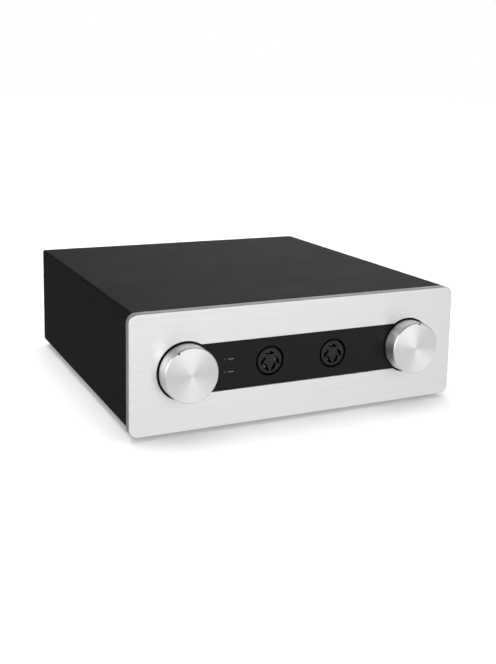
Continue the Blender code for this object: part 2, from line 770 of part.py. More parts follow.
def add_power_switch():
    """A snap-in frame with a rocker that turns about a level pin."""
    face = 2 * MM + GAP
    frame_outline = rounded_box(22 * MM, 30 * MM, 1.5 * MM, steps=3)
    flange_face = behind(SWITCH_AT, face)
    frame = prism(
        "power_switch_frame", [frame_outline], 2 * MM, black_plastic, flange_face, FACING_REAR
    )
    overlap = 1 * MM
    body = block(
        "switch_body",
        (19 * MM, 27 * MM, SWITCH_DEEP + overlap),
        None,
        behind(SWITCH_AT, (overlap - SWITCH_DEEP) / 2),
        FACING_REAR,
    )
    combine(frame, "UNION", body)
    cavity_deep = 13 * MM
    cavity = block(
        "switch_cavity",
        (14.6 * MM, 24 * MM, 2 * cavity_deep),
        None,
        behind(SWITCH_AT, face),
        FACING_REAR,
    )
    combine(frame, "DIFFERENCE", cavity)

    # The rocker's own X runs up the panel, its Y outwards, and its Z along the pin.
    half_length, end_rise, width = 10.4 * MM, 4.2 * MM, 13.6 * MM
    hollow_radius, hub_radius = 32 * MM, 5.4 * MM
    sweep = math.degrees(math.asin(half_length / hollow_radius))
    rim = end_rise + hollow_radius * math.cos(math.radians(sweep))
    outline = arc((0, rim), hollow_radius, 270 - sweep, 270 + sweep, 8)
    outline += arc((0, 0), hub_radius, 0, -180, 8)
    tilt_c, tilt_s = math.cos(ROCKER_REST_TILT), math.sin(ROCKER_REST_TILT)
    outline = [(x * tilt_c - y * tilt_s, x * tilt_s + y * tilt_c) for x, y in outline]
    pin = behind(SWITCH_AT, ROCKER_PIN_REACH) + Vector((-width / 2, 0, 0))
    plate("power_rocker", [outline], width, black_plastic, pin, (0, -math.pi / 2, 0))


def add_balanced_input(side):
    """A three-pole latching socket on a square flange, with a push tab above."""
    spot = BALANCED_AT[side]
    flange = [rounded_box(26 * MM, 31 * MM, 2 * MM, steps=3)]
    flange += [circle(hole, 1.6 * MM, 8) for hole in ((-9.5 * MM, 12 * MM), (9.5 * MM, -12 * MM))]
    face = 2 * MM + GAP
    name = f"balanced_input_{side}"
    socket = prism(name, flange, 2 * MM, black_plastic, behind(spot, face), FACING_REAR)
    ring_top, groove_end, body_end = 3.6 * MM, -12 * MM, -22 * MM
    insert, shell = 7.4 * MM, 9.4 * MM
    profile = [
        (0, face),
        (insert, face),
        (insert, groove_end),
        (shell, groove_end),
        (shell, ring_top),
        (BALANCED_RADIUS - 0.6 * MM, ring_top),
        (BALANCED_RADIUS, ring_top - 0.6 * MM),
        (BALANCED_RADIUS, body_end),
        (0, body_end),
    ]
    barrel = turned(f"barrel_{side}", profile, None, behind(spot, 0), FACING_REAR, 24)
    well = turned(
        f"barrel_well_{side}",
        [(0, 6 * MM), (shell, 6 * MM), (shell, groove_end), (0, groove_end)],
        None,
        behind(spot, 0),
        FACING_REAR,
        24,
    )
    combine(socket, "DIFFERENCE", well)
    combine(socket, "UNION", barrel)
    pins = []
    for angle in (30, 150, 270):
        turn = math.radians(angle)
        pins.append(circle((4.6 * MM * math.cos(turn), 4.6 * MM * math.sin(turn)), 1.4 * MM, 8))
    outside = behind(spot, face + 1 * MM)
    combine(socket, "DIFFERENCE", prism(f"pin_holes_{side}", pins, 12 * MM, None, outside, FACING_REAR))
    tab_spot = (spot[0], spot[1] + LATCH_RISE)
    notch = block(
        f"tab_notch_{side}",
        (LATCH_WIDTH + 2 * GAP, LATCH_HEIGHT + 2 * GAP, 16 * MM),
        None,
        behind(tab_spot, 0),
        FACING_REAR,
    )
    combine(socket, "DIFFERENCE", notch)
    tab_size = (LATCH_WIDTH, LATCH_HEIGHT, 9 * MM)
    tab_centre = behind(tab_spot, 4.4 * MM - tab_size[2] / 2)
    block(f"release_tab_{side}", tab_size, bright_steel, tab_centre, FACING_REAR, bevel=0.4 * MM)


def add_phono_sockets():
    profile = [
        (0, 2 * MM),
        (1.65 * MM, 2 * MM),
        (1.65 * MM, PHONO_REACH),
        (4.15 * MM, PHONO_REACH),
        (4.15 * MM, 2.8 * MM),
        (6.6 * MM, 2.8 * MM),
        (6.6 * MM, GAP),
        (3.2 * MM, GAP),
        (3.2 * MM, -9 * MM),
        (0, -9 * MM),
    ]
    for name, spot in PHONO_AT.items():
        turned(name, profile, gold, behind(spot, 0), FACING_REAR, 20)


# ---------------------------------------------------------------- inside


def add_transformer():
    """A ring-core transformer under a dished washer, on one long bolt."""
    bottom = TRAY_TOP + GAP
    top = bottom + COIL_HEIGHT
    corner = 7 * MM
    profile = arc((COIL_OUTER - corner, top - corner), corner, 90, 0, 2)
    profile += arc((COIL_OUTER - corner, bottom + corner), corner, 0, -90, 2)
    profile += arc((COIL_INNER + corner, bottom + corner), corner, 270, 180, 2)
    profile += arc((COIL_INNER + corner, top - corner), corner, 180, 90, 2)
    foot = at(*COIL_AT, 0)
    turned("transformer", profile, winding_tape, foot, steps=28, closed=True)
    rim, hub, sheet = 30 * MM, 9 * MM, 1.6 * MM
    seat = top + GAP
    hole = 3.4 * MM
    washer = [
        (hole, seat + sheet),
        (hub, seat + sheet),
        (hub + 3 * MM, seat + 2.2 * sheet),
        (rim, seat + 2.2 * sheet),
        (rim, seat + 1.2 * sheet),
        (hub + 3 * MM, seat + 1.2 * sheet),
        (hub, seat),
        (hole, seat),
    ]
    turned("transformer_washer", washer, zinc_steel, foot, steps=20, closed=True)
    head_low = seat + sheet + GAP
    shank, head, head_high = 3 * MM, 5 * MM, 4 * MM
    bolt = [
        (0, head_low + head_high),
        (head, head_low + head_high),
        (head, head_low),
        (shank, head_low),
        (shank, TRAY_BOTTOM + 0.2 * MM),
        (0, TRAY_BOTTOM + 0.2 * MM),
    ]
    turned("transformer_bolt", bolt, bright_steel, foot, steps=12)


def add_board(name, extent, parts_on_it):
    """A circuit board with its mounting holes, and boxes for what is soldered to it."""
    x0, x1, d0, d1 = extent
    width, length = x1 - x0, d1 - d0
    centre = at((x0 + x1) / 2, (d0 + d1) / 2, BOARD_TOP)
    inset_x, inset_y = width / 2 - STUD_INSET, length / 2 - STUD_INSET
    outlines = [rounded_box(width, length, 2 * MM, steps=2)]
    outlines += [circle((sx * inset_x, sy * inset_y), 1.6 * MM, 8) for sx in (-1, 1) for sy in (-1, 1)]
    board = prism(name, outlines, BOARD_THICK, green_laminate, centre)
    sunk = 0.5 * MM
    for i, (x, depth, (size_x, size_y, height)) in enumerate(parts_on_it):
        middle = at(x, depth, BOARD_TOP + (height - sunk) / 2)
        shape = block(f"{name}_part_{i}", (size_x, size_y, height + sunk), None, middle)
        combine(board, "UNION", shape)


def add_power_supply():
    relay, bridge = (19 * MM, 15 * MM, 15 * MM), (20 * MM, 4 * MM, 18 * MM)
    header = (24 * MM, 8 * MM, HEADER_HEIGHT)
    soldered = [(-36 * MM, 58 * MM, relay), (-36 * MM, 84 * MM, bridge), (-36 * MM, 104 * MM, header)]
    add_board("power_board", POWER_BOARD, soldered)
    base = BOARD_TOP + GAP
    crown = 1.5 * MM
    profile = [
        (0, base + CAPACITOR_HEIGHT),
        (CAPACITOR_RADIUS - crown, base + CAPACITOR_HEIGHT),
        (CAPACITOR_RADIUS, base + CAPACITOR_HEIGHT - crown),
        (CAPACITOR_RADIUS, base),
        (0, base),
    ]
    number = 0
    for x in (-96 * MM, -70 * MM):
        for depth in (61 * MM, 95 * MM):
            number += 1
            turned(f"reservoir_capacitor_{number}", profile, cap_sleeve, at(x, depth, 0), steps=20)


def add_amplifier():
    relay, choke = (19 * MM, 15 * MM, 15 * MM), (14 * MM, 26 * MM, 12 * MM)
    header = (30 * MM, 8 * MM, HEADER_HEIGHT)
    soldered = [
        (30 * MM, 66 * MM, relay),
        (84 * MM, 66 * MM, relay),
        (57 * MM, 58 * MM, header),
        (57 * MM, 208 * MM, header),
        (57 * MM, 122 * MM, choke),
        (57 * MM, 162 * MM, choke),
    ]
    add_board("amplifier_board", AMP_BOARD, soldered)
    fin_count, pitch, fin, web = 7, 4.4 * MM, 1.6 * MM, 3 * MM
    fin_reach = 17 * MM
    for side, x, turn in (("left", 22 * MM, -1), ("right", 92 * MM, 1)):
        outline = [(0, 0)]
        for i in range(fin_count):
            start = i * pitch
            outline += [(turn * fin_reach, start), (turn * fin_reach, start + fin)]
            if i < fin_count - 1:
                outline += [(turn * web, start + fin), (turn * web, start + pitch)]
        outline.append((0, (fin_count - 1) * pitch + fin))
        heatsink_height = 44 * MM
        place_at = at(x, 126 * MM, BOARD_TOP + GAP + heatsink_height)
        plate(f"heatsink_{side}", [outline], heatsink_height, black_anodised, place_at)


def add_leads():
    """The leads that the case holds along their whole length."""
    radius, straight = 1.8 * MM, 3 * MM

    def lead(name, start, leaves, bends, end, arrives):
        """Leaves its start and meets its end square on, and passes near each bend between."""
        first, last = at(*start) + GAP * leaves, at(*end) + GAP * arrives
        free = [first + straight * leaves, *(at(*bend) for bend in bends), last + straight * arrives]
        route = smooth_route(free, leaves, arrives, 5 * radius)
        cable(name, [first, *route, last], radius, lead_sleeve)

    forward, upward = Vector((0, -1, 0)), Vector((0, 0, 1))
    inlet_back, switch_back = REAR_FACE - INLET_DEEP, REAR_FACE - SWITCH_DEEP
    coil_front = COIL_AT[1] - COIL_OUTER
    lead(
        "mains_lead",
        (INLET_AT[0], inlet_back, 40 * MM),
        forward,
        [(-72 * MM, 221 * MM, 36 * MM), (-50 * MM, 221 * MM, 36 * MM)],
        (SWITCH_AT[0], switch_back, 42 * MM),
        forward,
    )
    lead(
        "secondary_lead",
        (COIL_AT[0], coil_front, 32 * MM),
        forward,
        [(-55 * MM, 116 * MM, 37 * MM), (-42 * MM, 107 * MM, 36 * MM)],
        (-36 * MM, 104 * MM, HEADER_TOP),
        upward,
    )
    lead(
        "supply_lead",
        (-19 * MM, 96 * MM, BOARD_TOP),
        upward,
        [(-10 * MM, 112 * MM, 30 * MM), (-6 * MM, 150 * MM, 30 * MM), (16 * MM, 190 * MM, 32 * MM)],
        (48 * MM, 208 * MM, HEADER_TOP),
        upward,
    )


clear_scene()
parts = new_collection("headphone_amplifier")
cutters = new_collection("cutters")

brushed_aluminium = make_material("brushed_aluminium", (0.80, 0.80, 0.80), 0.32, 1.0)
spun_aluminium = make_material("spun_aluminium", (0.82, 0.82, 0.82), 0.25, 1.0)
black_acrylic = make_material("black_acrylic", (0.02, 0.02, 0.02), 0.2)
black_paint = make_material("black_paint", (0.03, 0.03, 0.03), 0.5)
black_plastic = make_material("black_plastic", (0.02, 0.02, 0.02), 0.4)
black_rubber = make_material("black_rubber", (0.02, 0.02, 0.02), 0.8)
black_steel = make_material("black_steel", (0.05, 0.05, 0.05), 0.35, 1.0)
black_anodised = make_material("black_anodised", (0.03, 0.03, 0.03), 0.4, 0.6)
bright_steel = make_material("bright_steel", (0.62, 0.62, 0.62), 0.25, 1.0)
zinc_steel = make_material("zinc_steel", (0.55, 0.56, 0.57), 0.4, 1.0)
gold = make_material("gold", (0.83, 0.62, 0.25), 0.25, 1.0)
clear_plastic = make_material("clear_plastic", (0.6, 0.6, 0.6), 0.2)
green_laminate = make_material("green_laminate", (0.02, 0.16, 0.07), 0.45)
winding_tape = make_material("winding_tape", (0.62, 0.50, 0.16), 0.35)
cap_sleeve = make_material("cap_sleeve", (0.02, 0.03, 0.08), 0.35)
lead_sleeve = make_material("lead_sleeve", (0.03, 0.03, 0.03), 0.5)

add_front_panel()
add_front_window()
add_sub_front()
for control, control_x in (("selector", -CONTROL_X), ("volume", CONTROL_X)):
    add_knob(control, control_x)
    add_shaft(control, control_x)
    add_nut(control, control_x)
add_selector_switch()
add_volume_attenuator()
for socket_side, sign in SIDES.items():
    add_headphone_socket(socket_side, sign * SOCKET_X)
add_socket_board()
add_indicators()

add_top_cover()
add_chassis_base()
add_feet()
add_cover_screws()

add_rear_panel()
add_mains_inlet()
add_fuse_drawer()
add_power_switch()
for socket_side in SIDES:
    add_balanced_input(socket_side)
add_phono_sockets()

add_transformer()
add_power_supply()
add_amplifier()
add_leads()

bpy.context.view_layer.update()
for part in parts.objects:
    if part.type == "MESH":
        shade(part)
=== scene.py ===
"""Looks of the headphone amplifier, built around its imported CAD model, in metres with +Z up."""

import json
import math

import bmesh
import bpy
from mathutils import Matrix, Vector


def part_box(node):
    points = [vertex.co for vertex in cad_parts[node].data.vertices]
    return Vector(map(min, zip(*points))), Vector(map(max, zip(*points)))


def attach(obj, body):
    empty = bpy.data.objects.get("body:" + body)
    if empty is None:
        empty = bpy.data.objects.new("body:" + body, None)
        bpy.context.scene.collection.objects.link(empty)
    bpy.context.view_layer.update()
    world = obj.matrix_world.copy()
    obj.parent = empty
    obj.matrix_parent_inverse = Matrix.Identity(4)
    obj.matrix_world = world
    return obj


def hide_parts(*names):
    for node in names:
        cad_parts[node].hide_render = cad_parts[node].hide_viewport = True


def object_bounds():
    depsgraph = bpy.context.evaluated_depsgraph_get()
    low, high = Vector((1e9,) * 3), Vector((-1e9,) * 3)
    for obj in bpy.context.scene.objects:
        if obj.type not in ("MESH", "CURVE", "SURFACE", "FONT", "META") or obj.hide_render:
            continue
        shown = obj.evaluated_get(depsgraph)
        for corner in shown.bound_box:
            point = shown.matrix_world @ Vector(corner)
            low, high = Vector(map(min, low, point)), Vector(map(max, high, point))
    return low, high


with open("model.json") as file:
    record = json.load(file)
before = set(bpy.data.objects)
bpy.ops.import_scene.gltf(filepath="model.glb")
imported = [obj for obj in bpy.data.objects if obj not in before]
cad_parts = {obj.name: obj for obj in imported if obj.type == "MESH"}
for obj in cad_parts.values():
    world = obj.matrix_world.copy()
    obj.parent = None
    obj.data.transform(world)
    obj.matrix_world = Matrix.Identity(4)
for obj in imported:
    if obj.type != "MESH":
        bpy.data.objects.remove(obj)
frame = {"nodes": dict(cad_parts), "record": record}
cad_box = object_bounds()

MM = 0.001
GAP = 0.3 * MM
FACING_UP = Matrix.Identity(4)
FACING_FRONT = Matrix.Rotation(math.pi / 2, 4, "X")  # a shape's own +Z points at the listener
FACING_REAR = Matrix.Rotation(math.pi, 4, "Z") @ FACING_FRONT
SIDES = ("left", "right")
ENDS = ("front", "rear")
INDICATORS = ("upper", "lower")


def centre_of(node):
    low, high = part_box(node)
    return (low + high) / 2


def size_of(node):
    low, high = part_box(node)
    return high - low


# ------ places read from the CAD model

PANEL_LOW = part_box("front_panel")[0]
FACE_Y = PANEL_LOW.y
KNOBS = {"selector": centre_of("selector_knob"), "volume": centre_of("volume_knob")}
AXIS_Z = KNOBS["volume"].z
KNOB_RADIUS = size_of("volume_knob").z / 2
KNOB_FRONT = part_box("volume_knob")[0].y
KNOB_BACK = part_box("volume_knob")[1].y
SOCKETS = {side: centre_of(f"headphone_socket_{side}") for side in SIDES}
WINDOW_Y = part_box("front_window")[0].y
CASE_LOW, CASE_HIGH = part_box("top_cover")
REAR_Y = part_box("rear_panel")[1].y
TABLE_Z = cad_box[0].z


def joint_place(name):
    """Where a joint's axis is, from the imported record."""
    for joint in frame["record"]["behaviour"]["joints"]:
        if joint["name"] == name:
            return Vector(joint["pos_m"])
    raise ValueError(name)


# ------ outlines


def arc(centre, radius, start, end, steps):
    angles = [math.radians(start + (end - start) * i / steps) for i in range(steps + 1)]
    return [(centre[0] + radius * math.cos(a), centre[1] + radius * math.sin(a)) for a in angles]


def circle(centre, radius, steps=48):
    return arc(centre, radius, 0, 360, steps)[:-1]


def rounded_box(width, height, radius, steps=8, centre=(0, 0)):
    outline = []
    for turn, (sx, sy) in enumerate(((1, 1), (-1, 1), (-1, -1), (1, -1))):
        corner = (centre[0] + sx * (width / 2 - radius), centre[1] + sy * (height / 2 - radius))
        outline += arc(corner, radius, 90 * turn, 90 * turn + 90, steps)
    return outline


def capsule(length, width, centre, turn, steps=8):
    half = (length - width) / 2
    c, s = math.cos(math.radians(turn)), math.sin(math.radians(turn))
    ends = arc((half, 0), width / 2, -90, 90, steps) + arc((-half, 0), width / 2, 90, 270, steps)
    return [(centre[0] + x * c - y * s, centre[1] + x * s + y * c) for x, y in ends]


def dumbbell(half_span, radius, height, steps=64):
    """A level band of the given height with a round end about each of two centres."""
    join = math.degrees(math.asin(height / 2 / radius))
    right = arc((half_span, 0), radius, join - 180, 180 - join, steps)
    left = arc((-half_span, 0), radius, join, 360 - join, steps)
    return right + left


# Edges and holes of plates: each gives an outline for every inset of the plate's rim.


def box_edge(width, height, radius, steps=8, centre=(0, 0)):
    return lambda inset: rounded_box(
        width - 2 * inset, height - 2 * inset, radius - inset, steps, centre
    )


def round_hole(centre, radius, steps=48):
    return lambda inset: circle(centre, radius + inset, steps)


# ------ shapes

SQUARE = [(0, 0)]  # the rim of a plate whose edge is left sharp
SHARP = math.radians(35)  # faces that meet at more than this show an edge between them
LEVEL = 0.999  # a plate's face this close to level is shaded flat
LATHE_WELD = 0.002 * MM  # points of a lathe shape this close are one
WELD = 0.003 * MM  # and so are the corners of a shape that was cut


def apply_modifiers(obj):
    bpy.context.view_layer.update()
    evaluated = obj.evaluated_get(bpy.context.evaluated_depsgraph_get())
    mesh = bpy.data.meshes.new_from_object(evaluated)
    obj.modifiers.clear()
    obj.data = mesh


def shade(obj):
    obj.data.shade_smooth()
    obj.data.set_sharp_from_angle(angle=SHARP)


def show(name, mesh, place, facing):
    obj = bpy.data.objects.new(name, mesh)
    obj.matrix_world = Matrix.Translation(place) @ facing
    bpy.context.scene.collection.objects.link(obj)
    return obj


def built(name, shape, place=(0, 0, 0), facing=FACING_UP):
    """An object made from a bmesh, which it uses up."""
    mesh = bpy.data.meshes.new(name)
    shape.to_mesh(mesh)
    shape.free()
    return show(name, mesh, place, facing)


def chamfer(size):
    """Rings, as inset and drop pairs, that take the corner off a plate's edge."""
    return [(size, 0), (0, size)]


def rounding(radius, steps=4):
    """Rings that round a plate's edge off."""
    angles = [math.pi / 2 * i / steps for i in range(steps + 1)]
    return [(radius * (1 - math.sin(a)), radius * (1 - math.cos(a))) for a in angles]


def plate(
    name, edge, holes, thickness, place, facing=FACING_UP, rim=SQUARE, hole_rim=SQUARE, back=SQUARE
):
    """A flat piece whose own +Z face is at the place.

    Its edge and its holes are functions that give an outline for each inset of the rim.
    """
    shape = bmesh.new()
    fronts, backs = [], []
    walls = [(edge, rim, back), *((hole, hole_rim, SQUARE) for hole in holes)]
    for outline_at, front_rim, back_rim in walls:
        levels = [(inset, -drop) for inset, drop in front_rim]
        levels += [(inset, drop - thickness) for inset, drop in reversed(back_rim)]
        rings = []
        for inset, height in levels:
            rings.append([shape.verts.new((x, y, height)) for x, y in outline_at(inset)])
        for upper, lower in zip(rings, rings[1:]):
            for i, corner in enumerate(upper):
                j = (i + 1) % len(upper)
                shape.faces.new((corner, lower[i], lower[j], upper[j]))
        for ring, edges in ((rings[0], fronts), (rings[-1], backs)):
            edges += [shape.edges.get(pair) for pair in zip(ring, ring[1:] + ring[:1])]
    for edges in (fronts, backs):
        bmesh.ops.triangle_fill(shape, use_beauty=True, edges=edges)
    bmesh.ops.recalc_face_normals(shape, faces=shape.faces)
    obj = built(name, shape, place, facing)
    shade(obj)
    for face in obj.data.polygons:
        face.use_smooth = abs(face.normal.z) < LEVEL
    return obj


def prism(name, outline, deep, top, facing=FACING_UP):
    """An outline carried straight down from a place."""
    return plate(name, lambda inset: outline, [], deep, top, facing)


def turned(name, profile, place, facing=FACING_UP, steps=96, closed=False):
    """A lathe shape from radius and height pairs, which go down its outer side."""
    mesh = bpy.data.meshes.new(name)
    links = [(i, i + 1) for i in range(len(profile) - 1)]
    if closed:
        links.append((len(profile) - 1, 0))
    mesh.from_pydata([(radius, 0, height) for radius, height in profile], links, [])
    obj = show(name, mesh, place, facing)
    lathe = obj.modifiers.new("Lathe", "SCREW")
    lathe.axis = "Z"
    lathe.steps = lathe.render_steps = steps
    lathe.use_merge_vertices = True
    lathe.merge_threshold = LATHE_WELD
    apply_modifiers(obj)
    shade(obj)
    return obj


def drill(radius, deep, top, steps):
    """A cutter for a round hole, straight down from a place."""
    return turned("drill", [(0, 0), (radius, 0), (radius, -deep), (0, -deep)], top, steps=steps)


def block(name, size, place, facing=FACING_UP):
    shape = bmesh.new()
    bmesh.ops.create_cube(shape, size=1)
    bmesh.ops.scale(shape, vec=size, verts=shape.verts)
    return built(name, shape, place, facing)


def weld(obj):
    """Closes the hair-thin slivers and gaps that cutting leaves behind."""
    shape = bmesh.new()
    shape.from_mesh(obj.data)
    bmesh.ops.remove_doubles(shape, verts=shape.verts, dist=WELD)
    bmesh.ops.dissolve_degenerate(shape, edges=shape.edges, dist=WELD)
    gaps = [edge for edge in shape.edges if edge.is_boundary]
    if gaps:
        bmesh.ops.holes_fill(shape, edges=gaps, sides=4)
        bmesh.ops.recalc_face_normals(shape, faces=shape.faces)
    shape.to_mesh(obj.data)
    shape.free()


def combine(obj, operation, others):
    """Joins other shapes to this one, or cuts them away, and uses them up."""
    for other in others:
        modifier = obj.modifiers.new("Combine", "BOOLEAN")
        modifier.operation = operation
        modifier.object = other
        apply_modifiers(obj)
        bpy.data.objects.remove(other)
    weld(obj)
    shade(obj)


def merged(name, shapes):
    """One piece made of shapes that stay as they are."""
    gathered = bmesh.new()
    for shape in shapes:
        copy = shape.data.copy()
        copy.transform(shape.matrix_world)
        gathered.from_mesh(copy)
        bpy.data.objects.remove(shape)
    obj = built(name, gathered)
    shade(obj)
    return obj


def steady_normals(piece):
    """Lets big faces keep their own direction, so that only the rounded rims shade softly."""
    weighting = piece.modifiers.new("Normals", "WEIGHTED_NORMAL")
    weighting.keep_sharp = True
    weighting.weight = 80
    apply_modifiers(piece)


def add(piece, finish, body="chassis", stands_for=None):
    """Dresses a piece and puts it on a CAD body, in place of the CAD node that it stands for."""
    steady_normals(piece)
    piece.data.materials.clear()
    piece.data.materials.append(finish)
    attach(piece, body)
    if stands_for:
        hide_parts(stands_for)


def new_node(tree, kind, **values):
    made = tree.nodes.new(kind)
    for key, value in values.items():
        setattr(made, key, value)
    return made


# ------ finishes


def even(value):
    """A grey colour, or a stretch that is the same in all directions."""
    return value, value, value


class Finish:
    """A Principled material whose texture nodes are added one at a time."""

    def __init__(self, name, colour, roughness, metallic=0.0, **sockets):
        self.material = bpy.data.materials.new(name)
        self.material.use_nodes = True
        self.tree = self.material.node_tree
        self.shader = self.tree.nodes["Principled BSDF"]
        self.colour = colour
        self.set("Base Color", (*colour, 1))
        self.set("Roughness", roughness)
        self.set("Metallic", metallic)
        for socket, value in sockets.items():
            self.set(socket.replace("_", " "), value)
        self.height = None

    def set(self, socket, value):
        self.shader.inputs[socket].default_value = value

    def node(self, kind, **values):
        return new_node(self.tree, kind, **values)

    def link(self, source, target):
        self.tree.links.new(source, target)

    def place(self, stretch=(1, 1, 1)):
        """Places on the piece in metres, times the stretch."""
        coordinates = self.node("ShaderNodeTexCoord")
        mapping = self.node("ShaderNodeMapping")
        mapping.inputs["Scale"].default_value = stretch
        self.link(coordinates.outputs["Object"], mapping.inputs["Vector"])
        return mapping.outputs["Vector"]

    def turned_place(self, pitch):
        """Places that repeat round the piece's own Z axis, as lathe marks do."""
        coordinates = self.node("ShaderNodeTexCoord")
        flat = self.node("ShaderNodeVectorMath", operation="MULTIPLY")
        flat.inputs[1].default_value = (1, 1, 0)
        reach = self.node("ShaderNodeVectorMath", operation="LENGTH")
        parts = self.node("ShaderNodeSeparateXYZ")
        joined = self.node("ShaderNodeCombineXYZ")
        scaled = self.node("ShaderNodeVectorMath", operation="SCALE")
        scaled.inputs["Scale"].default_value = 1 / pitch
        self.link(coordinates.outputs["Object"], flat.inputs[0])
        self.link(flat.outputs["Vector"], reach.inputs[0])
        self.link(coordinates.outputs["Object"], parts.inputs["Vector"])
        self.link(reach.outputs["Value"], joined.inputs["X"])
        self.link(parts.outputs["Z"], joined.inputs["Z"])
        self.link(joined.outputs["Vector"], scaled.inputs[0])
        return scaled.outputs["Vector"]

    def noise(self, detail, stretch=(1, 1, 1), place=None):
        texture = self.node("ShaderNodeTexNoise")
        texture.inputs["Scale"].default_value = 1
        texture.inputs["Detail"].default_value = detail
        self.link(place or self.place(stretch), texture.inputs["Vector"])
        return texture.outputs["Fac"]

    def ranged(self, value, low, high, start=0.3, end=0.7):
        node = self.node("ShaderNodeMapRange")
        node.inputs["From Min"].default_value = start
        node.inputs["From Max"].default_value = end
        node.inputs["To Min"].default_value = low
        node.inputs["To Max"].default_value = high
        self.link(value, node.inputs["Value"])
        return node.outputs["Result"]

    def vary_roughness(self, value, low, high):
        self.link(self.ranged(value, low, high), self.shader.inputs["Roughness"])

    def vary_colour(self, value, darker, lighter):
        """Shifts the base colour between two multiples of itself."""
        blend = self.node("ShaderNodeMix", data_type="RGBA")
        colours = [socket for socket in blend.inputs if socket.type == "RGBA"]
        for socket, amount in zip(colours, (darker, lighter)):
            socket.default_value = (*(min(1, c * amount) for c in self.colour), 1)
        self.link(self.ranged(value, 0, 1), blend.inputs["Factor"])
        result = next(socket for socket in blend.outputs if socket.type == "RGBA")
        self.link(result, self.shader.inputs["Base Color"])

    def relief(self, value, depth, strength):
        """Adds a bump of the given depth on top of those already there."""
        bump = self.node("ShaderNodeBump")
        bump.inputs["Distance"].default_value = depth
        bump.inputs["Strength"].default_value = strength
        self.link(value, bump.inputs["Height"])
        if self.height is not None:
            self.link(self.height, bump.inputs["Normal"])
        self.height = bump.outputs["Normal"]
        self.link(self.height, self.shader.inputs["Normal"])

    def matt_edges(self, metallic):
        """Faces turned away from the listener scatter part of the light, as a milled edge does."""
        geometry = self.node("ShaderNodeNewGeometry")
        parts = self.node("ShaderNodeSeparateXYZ")
        ahead = self.node("ShaderNodeMath", operation="ABSOLUTE")
        self.link(geometry.outputs["True Normal"], parts.inputs["Vector"])
        self.link(parts.outputs["Y"], ahead.inputs[0])
        share = self.ranged(ahead.outputs["Value"], metallic, 1.0, 0.1, 0.6)
        self.link(share, self.shader.inputs["Metallic"])

    def brushed_along(self, tangent):
        """Stretches highlights across the brushing: the tangent is the way they spread."""
        direction = self.node("ShaderNodeCombineXYZ")
        for axis, value in zip("XYZ", tangent):
            direction.inputs[axis].default_value = value
        self.link(direction.outputs["Vector"], self.shader.inputs["Tangent"])


def brushed_aluminium():
    made = Finish("brushed_aluminium", even(0.90), 0.38, 1.0, Anisotropic=0.8)
    fine = made.noise(4, (28, 5200, 28))
    broad = made.noise(5, (9, 460, 9))
    made.vary_roughness(fine, 0.32, 0.44)
    made.vary_colour(broad, 0.97, 1.01)
    made.relief(fine, 0.010 * MM, 0.6)
    made.relief(broad, 0.010 * MM, 0.3)
    made.brushed_along((0, 0, 1))
    made.matt_edges(0.80)
    return made.material


def spun_aluminium():
    """Lathe-turned metal: fine rings, and highlights that fan out from the middle."""
    made = Finish("spun_aluminium", even(0.95), 0.36, 1.0, Anisotropic=0.85)
    rings = made.noise(3, place=made.turned_place(0.16 * MM))
    made.vary_roughness(rings, 0.32, 0.40)
    made.vary_colour(rings, 0.95, 1.02)
    made.relief(rings, 0.006 * MM, 0.5)
    made.set("Anisotropic Rotation", 0.25)
    tangent = made.node("ShaderNodeTangent", direction_type="RADIAL", axis="Z")
    made.link(tangent.outputs["Tangent"], made.shader.inputs["Tangent"])
    return made.material


def powder_coat():
    made = Finish("powder_coat", even(0.008), 0.36, 0.0, Specular_IOR_Level=0.45)
    grain = made.noise(2, even(2600))
    cloud = made.noise(3, even(22))
    made.vary_roughness(cloud, 0.33, 0.39)
    made.vary_colour(cloud, 0.90, 1.10)
    made.relief(grain, 0.030 * MM, 0.45)
    return made.material


def satin_acrylic():
    made = Finish("satin_acrylic", even(0.006), 0.32, 0.0, Specular_IOR_Level=0.21)
    grain = made.noise(2, even(1800))
    made.vary_roughness(made.noise(3, even(60)), 0.28, 0.36)
    made.vary_colour(grain, 0.9, 1.1)
    made.relief(grain, 0.006 * MM, 0.25)
    return made.material


def moulded(name, colour, roughness, grain_mm=0.35, depth_mm=0.02, **sockets):
    """Plastic or rubber with the fine grain of its mould."""
    made = Finish(name, colour, roughness, **sockets)
    pitch = 1 / (grain_mm * MM)
    grain = made.noise(2, even(pitch))
    cloud = made.noise(3, even(90))
    made.vary_roughness(cloud, roughness * 0.88, min(1, roughness * 1.15))
    made.vary_colour(cloud, 0.88, 1.12)
    made.relief(grain, depth_mm * MM, 0.5)
    return made.material


def plated(name, colour, roughness):
    """Plated or bare metal, slightly uneven."""
    made = Finish(name, colour, roughness, 1.0)
    cloud = made.noise(5, even(240))
    marks = made.noise(2, (3200, 3200, 900))
    made.vary_roughness(cloud, roughness * 0.8, roughness * 1.3)
    made.vary_colour(cloud, 0.90, 1.05)
    made.relief(marks, 0.006 * MM, 0.4)
    return made.material


def zinc_sheet():
    """Galvanised steel with faint crystal patches."""
    made = Finish("zinc_sheet", (0.52, 0.53, 0.54), 0.38, 1.0)
    cells = made.node("ShaderNodeTexVoronoi")
    cells.inputs["Scale"].default_value = 160
    made.link(made.place(), cells.inputs["Vector"])
    tone = made.node("ShaderNodeSeparateColor")
    made.link(cells.outputs["Color"], tone.inputs["Color"])
    made.vary_colour(tone.outputs["Red"], 0.86, 1.08)
    made.vary_roughness(tone.outputs["Green"], 0.32, 0.48)
    made.relief(made.noise(3, even(900)), 0.010 * MM, 0.4)
    return made.material


